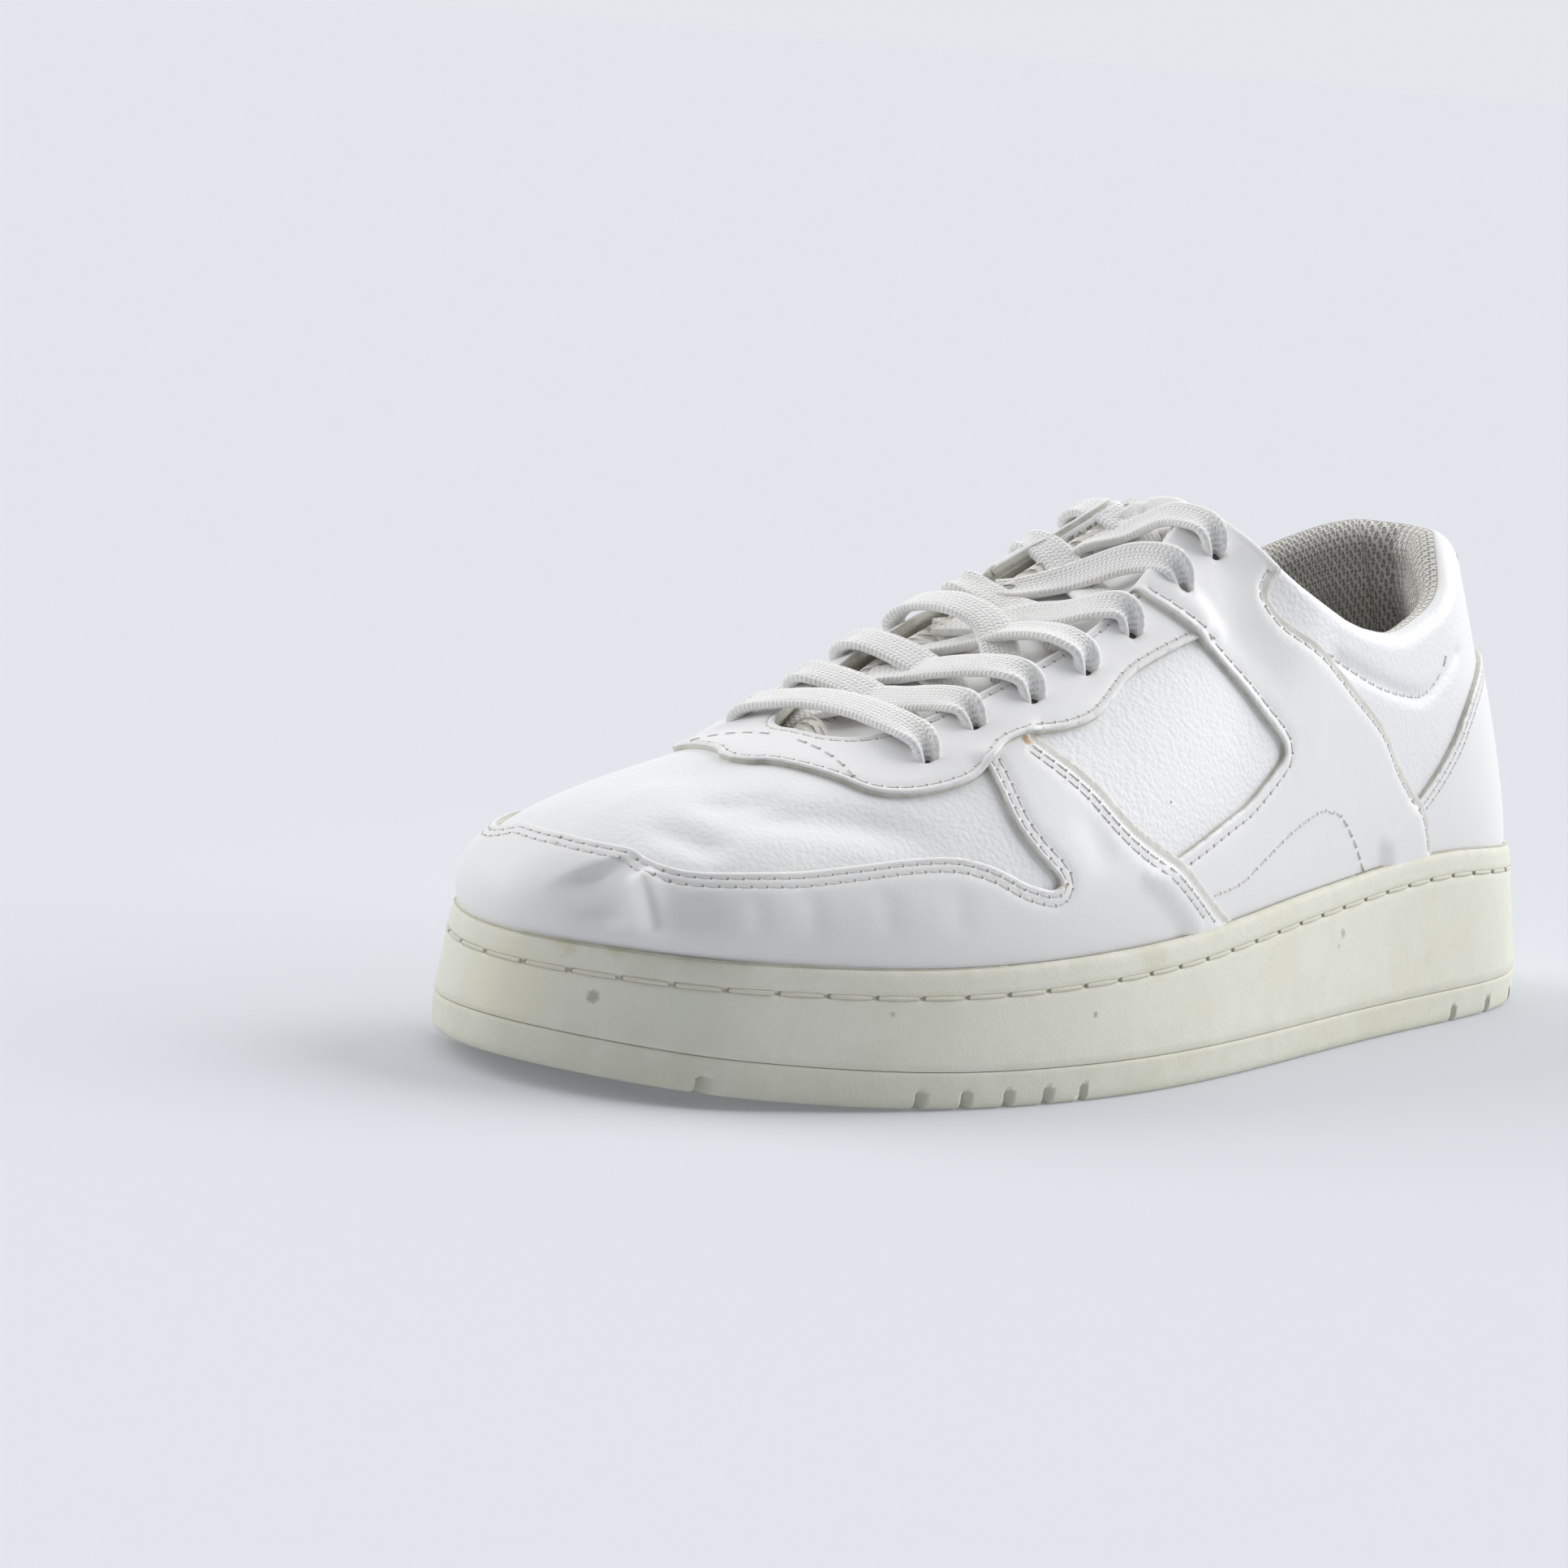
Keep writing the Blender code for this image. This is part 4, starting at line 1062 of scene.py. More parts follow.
    def height(self, flat: Array) -> Array:
        """Height of the panel's face off the last at pattern points inside the outline."""
        d, skive = self.reach(flat)
        d = np.maximum(d, 0.0)
        cut = 0.80 + 0.20 * rounded(d / 0.45)
        slope = 0.22 + 0.30 * smooth_step(0.0, 0.5, d) + 0.48 * smooth_step(
            self.strip - 0.5, self.strip + 0.9, d)
        high = self.thickness * (cut * (1 - skive) + slope * skive)
        for line, depth in zip(self.row_lines, self.row_depths):
            near = np.abs(d - depth) < 2.0
            if near.any():
                away = distance(flat[near], line)[0]
                high[near] -= SEAM_DENT * np.exp(-(away / SEAM_REACH)**2)
        high += 0.14 * np.exp(-((d - 0.8) / 0.5)**2) * (1 - skive)
        return high + self.lift(flat)

    def lift(self, flat: Array) -> Array:
        """How far the panels under this one raise it."""
        total = np.zeros(len(flat))
        around = self.to_round(flat)
        for low in self.under:
            gap, _ = low.reach(low.from_round(around))
            total += OVERLAP_LIFT * low.thickness * smooth_step(-3.4, 2.4, gap)
        return total

    def cut(self) -> tuple[Array, list[tuple[int, ...]]]:
        """Cut the outline into triangles and return its flat points and faces."""
        size = self.step * 1.0
        loops = [even_run(self.loop, 0.9, closed=True)] + self.punched
        rings = [0.14, 0.5, 1.0, 1.6]
        if self.skive.any():
            rings += [2.2, 3.0]
        points, edges = [], []
        for loop in loops:
            start = len(points)
            points += [Vector(p) for p in loop]
            edges += [(start + i, start + (i + 1) % len(loop)) for i in range(len(loop))]
        fixed = []
        for ring in rings:
            fixed.append(even_run(self.inset(self.loop, ring, True), 1.1, closed=True))
        for line in self.row_lines:
            for offset in (-0.5, 0.0, 0.5):
                along = unit(np.gradient(line, axis=0))
                side = np.stack([-along[:, 1], along[:, 0]], 1) * offset
                fixed.append(even_run(line + side, 1.1))
        fixed = thinned(np.vstack(fixed), 0.42)
        fixed = fixed[inside(fixed, self.loop)]
        low, high = self.loop.min(0), self.loop.max(0)
        rows = np.arange(low[1], high[1], size * 0.87)
        columns = np.arange(low[0], high[0], size)
        flat = np.vstack([np.column_stack([columns + (r % 2) * size / 2,
                                           np.full(len(columns), y)])
                          for r, y in enumerate(rows)])
        flat = flat[inside(flat, self.loop)]
        flat = flat[distance(flat, self.loop, closed=True)[0] > 0.9]
        flat = clear_of(flat, fixed, 0.75)
        flat = np.vstack([fixed, flat])
        for hole in self.punched:
            centre = hole.mean(0)
            flat = flat[np.hypot(*(flat - centre).T) > self.hole_radius + 0.8]
            for r in (0.25, 0.6):
                ring = centre + (hole - centre) * (1 + r / self.hole_radius)
                points += [Vector(p) for p in ring]
        points += [Vector(p) for p in flat]
        made, _, faces, *_ = delaunay_2d_cdt(points, edges, [], 0, 1e-5)
        made = np.array([tuple(p) for p in made])
        corners = np.array(list(faces))
        middle = made[corners].mean(1)
        keep = inside(middle, loops[0])
        for hole in self.punched:
            keep &= ~inside(middle, hole)
        return made, [tuple(f) for f in corners[keep]]

    def build(self, face: bpy.types.Material, edge: bpy.types.Material,
              strip: bpy.types.Material) -> bpy.types.Object:
        """Make the panel as a closed sheet with raw cut sides."""
        flat, faces = self.cut()
        rim = open_rim(faces)
        border = sorted({i for pair in rim for i in pair})
        w, v = pattern(*flat.T, self.across)
        high = self.height(flat)
        for hole in self.punched:
            near = np.abs(np.hypot(*(flat - hole.mean(0)).T) - self.hole_radius)
            high -= PUNCH_DENT * np.exp(-(near / PUNCH_REACH)**2)
        top = self.last.raised(w, v, high)
        low = self.lift(flat) - 0.5
        count = len(flat)
        number = {i: 2 * count + k for k, i in enumerate(border)}
        b = np.array(border)
        middle = self.last.raised(w[b], v[b], 0.45 * high[b] + 0.55 * low[b])
        points = np.vstack([top, self.last.raised(w, v, low), middle])
        centre = flat[np.array(faces)].mean(1)
        d, skive = self.reach(centre)
        solid = two_sided(faces, count)
        look = [2 if s > 0.5 and r < self.strip else 0 for r, s in zip(d, skive)]
        look += [1] * len(faces)
        for i, j in rim:
            solid += [(j, i, number[i], number[j]), (number[j], number[i], count + i, count + j)]
            look += [1, 1]
        return make_mesh(self.name, points, solid, (face, edge, strip), look)

    def stitches(self, pitch: float) -> list[tuple[Array, Array, Array]]:
        """Places, directions and outward directions of the stitches of each row."""
        return [lay_row(self.last, line, pitch, self.across, lambda p: self.height(p) + THREAD_LIFT)
                for line in self.row_lines if len(line) > 4]


def other_side(flat: Array, far: Array) -> Array:
    """Give the points marked far their other numbers, over the foot or round the shoe."""
    return np.where(far[:, None], 2 * PATTERN - flat, flat)


def thinned(points: Array, gap: float) -> Array:
    """Points with those that share a square of the given size left out."""
    _, first = np.unique(np.round(points / gap).astype(int), axis=0, return_index=True)
    return points[np.sort(first)]


def clear_of(points: Array, others: Array, gap: float) -> Array:
    """Points that lie further than gap from all others."""
    keep = np.ones(len(points), bool)
    for low in range(0, len(points), 1000):
        part = points[low:low + 1000]
        near = np.min(((part[:, None] - others[None])**2).sum(2), axis=1)
        keep[low:low + 1000] = near > gap * gap
    return points[keep]


def lay_row(last: Last, line: Array, pitch: float, across: bool,
            height: Callable[[Array], Array]) -> tuple[Array, Array, Array]:
    """Lay stitches along a pattern line.

    Args:
        last: The form under the upper.
        line: The line on the flat pattern.
        pitch: Length from one stitch to the next.
        across: Whether the line's rises go on over the foot.
        height: Height off the last at pattern points.

    Returns:
        Places, directions and outward directions.
    """
    fine = even_run(line, 0.5)
    w, v = pattern(*fine.T, across)
    places = last.raised(w, v, height(fine))
    even = even_run(np.hstack([places, fine]), 0.5)
    gaps = travel(even[:, :3])
    count = max(1, int(gaps[-1] / pitch))
    want = (np.arange(count) + 0.5) * gaps[-1] / count

    def at(where: Array) -> tuple[Array, Array]:
        row = sampled(where, gaps, even)
        return row[:, :3], row[:, 3:]

    here, flat = at(want)
    w, v = pattern(*flat.T, across)
    return here, unit(at(want + 0.4)[0] - at(want - 0.4)[0]), last.normal(w, v)


def inner(run: Run, across: bool = False) -> Run:
    """The same run on the shoe's other side, in the opposite order."""
    if across:
        return [(a, 200 - b) for a, b in reversed(run)]
    return [(200 - a, b) for a, b in reversed(run)]


def behind(run: Run) -> Run:
    """The same run on the other side of the heel, in the opposite order."""
    return [(-a, b) for a, b in reversed(run)]


def wrapped(start: int, count: int) -> list[tuple[int, ...]]:
    """Faces across a ring of points whose number j lies opposite number count - j."""
    half = count // 2
    faces: list[tuple[int, ...]] = [(start, start + 1, start + count - 1)]
    for j in range(1, half - 1):
        faces.append((start + j, start + j + 1, start + count - j - 1, start + count - j))
    faces.append((start + half - 1, start + half, start + half + 1))
    return faces


def shell_faces(rings: int, columns: int) -> list[tuple[int, ...]]:
    """Faces of rings joined in order and closed across the first and the last."""
    return (grid_faces(rings, columns, closed=True) + wrapped(0, columns)
            + wrapped((rings - 1) * columns, columns))


def ground(x: Any) -> Array:
    """Height of the sole's underside: level, with the toe spring and the heel bevel."""
    toe = np.clip((x - TOE_SPRING_START) / (HALF_LENGTH - TOE_SPRING_START), 0.0, 1.0)
    heel = np.clip((HEEL_BEVEL_START - x) / (HALF_LENGTH + HEEL_BEVEL_START), 0.0, 1.0)
    return TOE_SPRING * toe**2 + HEEL_BEVEL * heel**2


@dataclass
class SoleUnit:
    """Cup sole with its stitched channel, and the tread layer under it.

    Attributes:
        last: The form above the sole.
        columns: Number of columns round the shoe.
        channel: Depth of the stitched channel's middle under the lip.
        channel_depth: How deep the channel is cut.
        seam_pitch: Length from one channel stitch to the next.
        groove_width: Width of the tread grooves.
        groove_depth: Depth of the tread grooves.
        grooves: Places of the grooves along the shoe.
    """

    last: Last
    columns: int = 560
    channel: float = 5.3
    channel_depth: float = 0.62
    seam_pitch: float = 9.85
    groove_width: float = 2.4
    groove_depth: float = 3.6
    grooves: tuple[float, ...] = (56.0, 65.7, 75.4, 85.1, 94.8, 132.5, -92.0, -108.5, -124.5,
                                  -139.0)

    def __post_init__(self) -> None:
        """Work out the heights round the shoe."""
        self.w = np.arange(self.columns) / self.columns
        self.station = self.last.station(self.w)
        plan = self.last.outline(self.w, 0.0)[0]
        self.lip = self.last.lip(self.last.outline(self.w, 4.0)[0][:, 0])
        self.low = ground(self.last.outline(self.w, 0.7)[0][:, 0])
        self.foot = self.low + TREAD_HEIGHT + 0.3
        self.lip_inset = 4.2 - 2.0 * self.station
        self.to_upper = self.last.edge_to_upper(self.station)
        self.round = travel(plan)

    def wall(self, height: Array) -> Array:
        """Inset of the leaning side wall at a height."""
        return self.lip_inset * (height - self.foot) / (self.lip - self.foot)

    def loft(self, name: str, rings: Sequence[tuple[Any, Any, float]],
             finish: bpy.types.Material) -> bpy.types.Object:
        """Join rings from the bottom up to the inside into a closed solid.

        Args:
            name: The object's name.
            rings: Inset and height of each ring, and how soiled it is, from 0 to 1.
            finish: The material.

        Returns:
            The object.
        """
        points, uv, soil = [], [], []
        for inset, height, grime in rings:
            height = np.broadcast_to(height, self.w.shape)
            plan = self.last.outline(self.w, np.broadcast_to(inset, self.w.shape))[0]
            points.append(np.column_stack([plan, height]))
            uv.append(np.column_stack([self.round, height]))
            soil.append(np.full(self.columns, grime))
        faces = shell_faces(len(rings), self.columns)
        return make_mesh(name, np.vstack(points), faces, (finish,), uv=np.vstack(uv),
                         marks={"soil": np.concatenate(soil)})

    def cup(self, finish: bpy.types.Material) -> bpy.types.Object:
        """Build the cup with its channel, lip and recess."""
        lip, foot, wall = self.lip, self.foot, self.wall
        rings = [(1.6, foot - 0.05, 0.3), (0.5, foot - 0.04, 0.35), (0.16, foot + 0.06, 0.35),
                 (0.03, foot + 0.25, 0.3)]
        bottom, top = foot + 0.9, lip - self.channel - 1.1
        for share in (np.arange(10) + 0.6) / 10.0:
            height = bottom + (top - bottom) * share
            rings.append((wall(height), height, 0.12 + 0.25 * (1 - share)**3))
        for step, depth, grime in ((-0.75, 0.0, 0.2), (-0.45, 0.22, 0.4), (-0.25, 0.72, 0.9),
                                   (0.0, 1.0, 0.9), (0.25, 0.72, 0.8), (0.45, 0.22, 0.4),
                                   (0.75, 0.0, 0.3)):
            height = lip - self.channel + step
            rings.append((wall(height) + depth * self.channel_depth, height, grime))
        rings += [(wall(lip - drop), lip - drop, grime)
                  for drop, grime in ((3.6, 0.2), (2.6, 0.25), (1.7, 0.35))]
        rings += [(wall(lip - 1.1) + inset, lip - drop, 0.55 + 0.15 * inset) for drop, inset in (
            (1.1, 0.10), (0.62, 0.32), (0.28, 0.70), (0.08, 1.2), (0.0, 1.8))]
        rings += [(self.to_upper - gap, lip - drop, grime) for drop, gap, grime in (
            (0.1, 2.1, 0.8), (0.35, 1.65, 1.0), (0.9, 1.40, 1.0), (2.2, 1.30, 1.0),
            (4.0, 0.35, 1.0))]
        rings.append((self.to_upper - 0.35, CUP_FLOOR, 1.0))
        return self.loft("cup_sole_visual", rings, finish)

    def tread(self, finish: bpy.types.Material) -> bpy.types.Object:
        """Build the tread layer and cut its grooves."""
        rings = [(3.4, 0.0), (2.2, 0.0), (1.5, 0.0), (0.95, 0.10), (0.55, 0.38), (0.22, 0.85),
                 (0.04, 1.5), (0.0, 2.4), (0.0, 3.5), (0.0, 4.6), (0.0, 5.5), (0.0, 6.3),
                 (0.03, 6.95), (0.16, 7.13), (0.5, 7.22), (3.0, 7.22)]
        made = self.loft("outsole_visual", [(inset, self.low + high, 0.4)
                                            for inset, high in rings], finish)
        points, faces = [], []
        for x in self.grooves:
            start = len(points)
            low, half = -2.0, self.groove_width / 2
            rise = float(ground(x))
            roof = rise + self.groove_depth
            section = ((-half - 0.25, low), (-half, rise + 0.5), (-half, roof - 0.5),
                       (-half + 0.5, roof), (half - 0.5, roof), (half, roof - 0.5),
                       (half, rise + 0.5), (half + 0.25, low))
            points += [(x + dx, side * 70.0, z) for side in (-1, 1) for dx, z in section]
            faces += [(start + k, start + (k + 1) % 8, start + 8 + (k + 1) % 8, start + 8 + k)
                      for k in range(8)]
            faces += [tuple(start + k for k in range(8)), tuple(start + 8 + k for k in range(8))]
        cutter = make_mesh("groove_cutter", np.array(points), faces, (finish,))
        step = made.modifiers.new("grooves", "BOOLEAN")
        step.operation, step.object, step.solver = "DIFFERENCE", cutter, "EXACT"
        mesh = baked(made)
        made.modifiers.clear()
        made.data = mesh
        bpy.data.objects.remove(cutter, do_unlink=True)
        return made

    def seam(self) -> tuple[Array, Array, Array]:
        """Places, directions and outward directions of the stitches in the channel."""
        height = self.lip - self.channel
        plan = self.last.outline(self.w, self.wall(height) + self.channel_depth - 0.42)[0]
        line = even_run(np.column_stack([plan, height]), self.seam_pitch, closed=True)
        along = unit(np.roll(line, -1, axis=0) - np.roll(line, 1, axis=0))
        out = unit(np.column_stack([along[:, 1], -along[:, 0], np.zeros(len(along))]))
        centre = line.mean(0)
        flip = ((line - centre) * out).sum(1) < 0
        out[flip] *= -1.0
        return line, along, out


@dataclass
class Upper:
    """Leather wall of the shoe and the padded knit lining of its collar.

    Attributes:
        last: The form under the leather.
        columns: Number of columns round the shoe.
        rows: Rows from the foot to the top.
        pad: Thickness of the collar with its padding.
        crest: How much higher and thicker the pad is at the heel and the inner side.
        lean: How far the throat's rim stays back under the eyestay, as a rise.
        lining_reach: Station at which the lining ends.
    """

    last: Last
    columns: int = 440
    rows: int = 58
    pad: float = 8.0
    crest: float = 3.0
    lean: float = 0.035
    lining_reach: float = 0.57

    def __post_init__(self) -> None:
        """Work out the rim for each column."""
        self.w = np.arange(self.columns) / self.columns
        self.front = int(round(0.822 / 2 * self.columns))

    def rim(self, w: Array) -> tuple[Array, Array]:
        """Rise at which the rim's roll starts, and the thickness of the roll."""
        station = self.last.station(w)
        top = self.last.top_edge(station)
        pad = self.pad + self.swell(w)
        thick = pad - (pad - 3.0) * smooth_step(0.44, 0.515, station)
        thick = thick - 1.0 * smooth_step(0.535, 0.575, station)
        girth = np.linalg.norm(self.last.climb(w, top), axis=-1) / RISE_STEP
        start = top - 0.92 * thick / 2.0 / girth
        return start - self.lean * smooth_step(0.545, 0.575, station), thick

    def swell(self, w: Array) -> Array:
        """Extra height and thickness of the pad at the heel and the inner side."""
        turn = (w + 0.5) % 1.0 - 0.5
        return (self.crest * (1 - smooth_step(0.03, 0.09, turn))
                * (1 - smooth_step(0.34, 0.48, self.last.station(w))))

    def roll(self, w: Array, angle: float, share: float = 1.0) -> Array:
        """Place on the rim's roll, angle degrees round from the outer side."""
        start, thick = self.rim(w)
        radius = thick / 2.0
        normal = self.last.normal(w, start)
        up = unit(self.last.climb(w, start))
        up = unit(up - normal * (up * normal).sum(-1, keepdims=True))
        centre = self.last.raised(w, start, -radius) + up * (
            self.swell(w) * math.sin(math.radians(min(angle, 90))))[..., None]
        turn = math.radians(angle)
        return centre + (normal * math.cos(turn) + up * math.sin(turn)) * (
            radius * share)[..., None]

    def leather(self, face: bpy.types.Material, edge: bpy.types.Material,
                cloth: bpy.types.Material) -> bpy.types.Object:
        """Build the wall of the upper with its rolled collar and painted shade round the eyelets.
        """
        last, w, front = self.last, self.w, self.front
        inner_rows = 22
        start, _ = self.rim(w)
        layers = [last.raised(w, -TUCK + (start + TUCK) * share, 0.0)
                  for share in np.arange(self.rows + 1) / self.rows]
        layers += [self.roll(w, angle) for angle in (14, 28, 42, 56, 68, 78)]
        looks = [0] * len(layers) + [1] + [2] * (inner_rows + 1)
        layers.append(self.roll(w, 80, 0.55))
        layers += [last.raised(w, start * share - TUCK * (1 - share), -WALL)
                   for share in 1.0 - np.arange(inner_rows + 1) / inner_rows]
        count, points = self.columns, list(np.vstack(layers))
        outer_top, inner_top = self.rows, len(layers) - 1 - inner_rows
        number = np.arange(len(points)).reshape(-1, count)
        faces, look = [], []
        for i in range(len(layers) - 1):
            for j in range(count):
                k = (j + 1) % count
                tip = front <= j and k <= count - front and k != 0
                if tip and outer_top <= i < inner_top:
                    continue
                faces.append((number[i, j], number[i, k], number[i + 1, k], number[i + 1, j]))
                look.append(looks[i + 1])
        for j in range(count):
            k = (j + 1) % count
            faces.append((number[-1, j], number[-1, k], number[0, k], number[0, j]))
            look.append(2)
        both = []
        for base, height, slot in ((outer_top, 0.0, 0), (inner_top, -WALL, 2)):
            over = self.over_foot(number[base], start, height, points)
            both.append(over)
            for low, high in zip(over, over[1:]):
                for quad in zip(low, low[1:], high[1:], high):
                    quad = tuple(dict.fromkeys(quad))
                    if len(quad) > 2:
                        faces.append(quad)
                        look.append(slot)
        for j, end in ((front, 0), (count - front, -1)):
            faces.append(tuple(number[outer_top:inner_top + 1, j]))
            outside, within = (over[:, end] for over in both)
            faces += zip(outside, outside[1:], within[1:], within)
            look += [1] * len(outside)
        points = np.array(points)
        # The shade mark paints shade round each eyelet, in place of the holes, which are not cut
        # through this wall.
        eyelets = np.vstack([last.point(side * a / 200.0, b / 100.0)[None]
                             for a, b in EYELETS for side in (1.0, -1.0)])
        gap = np.min(np.linalg.norm(points[:, None] - eyelets[None], axis=2), axis=1)
        return make_mesh("upper_visual", points, faces, (face, edge, cloth), look,
                         marks={"shade": 0.96 * (1 - smooth_step(2.0, 3.4, gap))})

    def over_foot(self, rim: Array, start: Array, height: float, points: list[Array]) -> Array:
        """Add the points of one face that run from the rim over the foot, and number them.

        Args:
            rim: Vertex numbers along the rim.
            start: Rise of the rim for each column.
            height: Height of the face off the last.
            points: All points so far, which the new ones are added to.

        Returns:
            Vertex numbers, a row for each step from the rim up to the crown.
        """
        steps = max(6, self.rows // 5)
        columns = np.arange(self.front, self.columns - self.front + 1)
        w, start, half = self.w[columns], start[columns], (len(columns) + 1) // 2
        over = np.empty((steps + 1, len(columns)), int)
        over[0] = rim[columns]
        for c in range(1, steps + 1):
            v = start + (1.0 - start) * c / steps
            plumb = min(1.0, 2.0 * c / steps)
            lean = unit(self.last.normal(w, v) * (1.0 - plumb) + (0.0, 0.0, plumb))
            made = self.last.raised(w, v, 0.0) + lean * height
            made = made[:half] if c == steps else made
            over[c, :len(made)] = np.arange(len(points), len(points) + len(made))
            over[c, len(made):] = over[c, :len(columns) - len(made)][::-1]
            points.extend(made)
        return over

    def lining(self, knit: bpy.types.Material) -> bpy.types.Object:
        """Build the collar's padded lining, from the roll down to the heel seat."""
        half = int(self.lining_reach / 2 * self.columns * 1.25)
        w = np.linspace(-self.lining_reach / 2, self.lining_reach / 2, 2 * half + 1)
        start, thick = self.rim(w)
        thin = smooth_step(0.44, 0.53, self.last.station(w))
        rise = np.linalg.norm(self.last.climb(w, start), axis=-1)
        high = self.swell(w) * RISE_STEP / rise
        layers = [self.roll(w, 70, 0.90), self.roll(w, 77, 0.97)]
        layers += [self.roll(w, angle) for angle in (84, 94, 106, 118, 130, 142, 154, 166)]
        shares = np.linspace(1.0, 0.04, 40)
        plump = steady_curve((0.04, 0.34, 0.60, 0.80, 0.91, 1.0), (-5.0, -3.6, 0.6, 2.6, 2.0, 0))
        for s in shares:
            fat = float(plump(s))
            layers.append(self.last.raised(w, start * s + high * (s - 0.6) / 0.4 * (s > 0.6), -(
                (thick + fat) * (1 - thin) + (3.2 + (thick - 3.2) * s**6) * thin)))
        for s in np.linspace(0.03, 1.0, 10):
            layers.append(self.last.raised(w, start * s, -WALL - 0.3))
        layers.append(self.roll(w, 60, 0.62))
        points = np.vstack(layers)
        count = len(w)
        run = np.zeros((len(layers), count))
        run[1:] = np.cumsum(np.linalg.norm(np.diff(np.array(layers), axis=0), axis=2), axis=0)
        slant = 0.30 * (1 - smooth_step(0.10, 0.14, self.last.station(w)))
        u = w * 2 * PATTERN_LENGTH
        uv = np.stack([u[None] + slant[None] * run, run], -1).reshape(-1, 2)
        faces = grid_faces(len(layers), count)
        last_row = (len(layers) - 1) * count
        faces += [(last_row + j, last_row + j + 1, j + 1, j) for j in range(count - 1)]
        for j in (0, count - 1):
            faces.append(tuple(i * count + j for i in range(len(layers))))
        return make_mesh("collar_lining_visual", points, faces, (knit,), uv=uv)


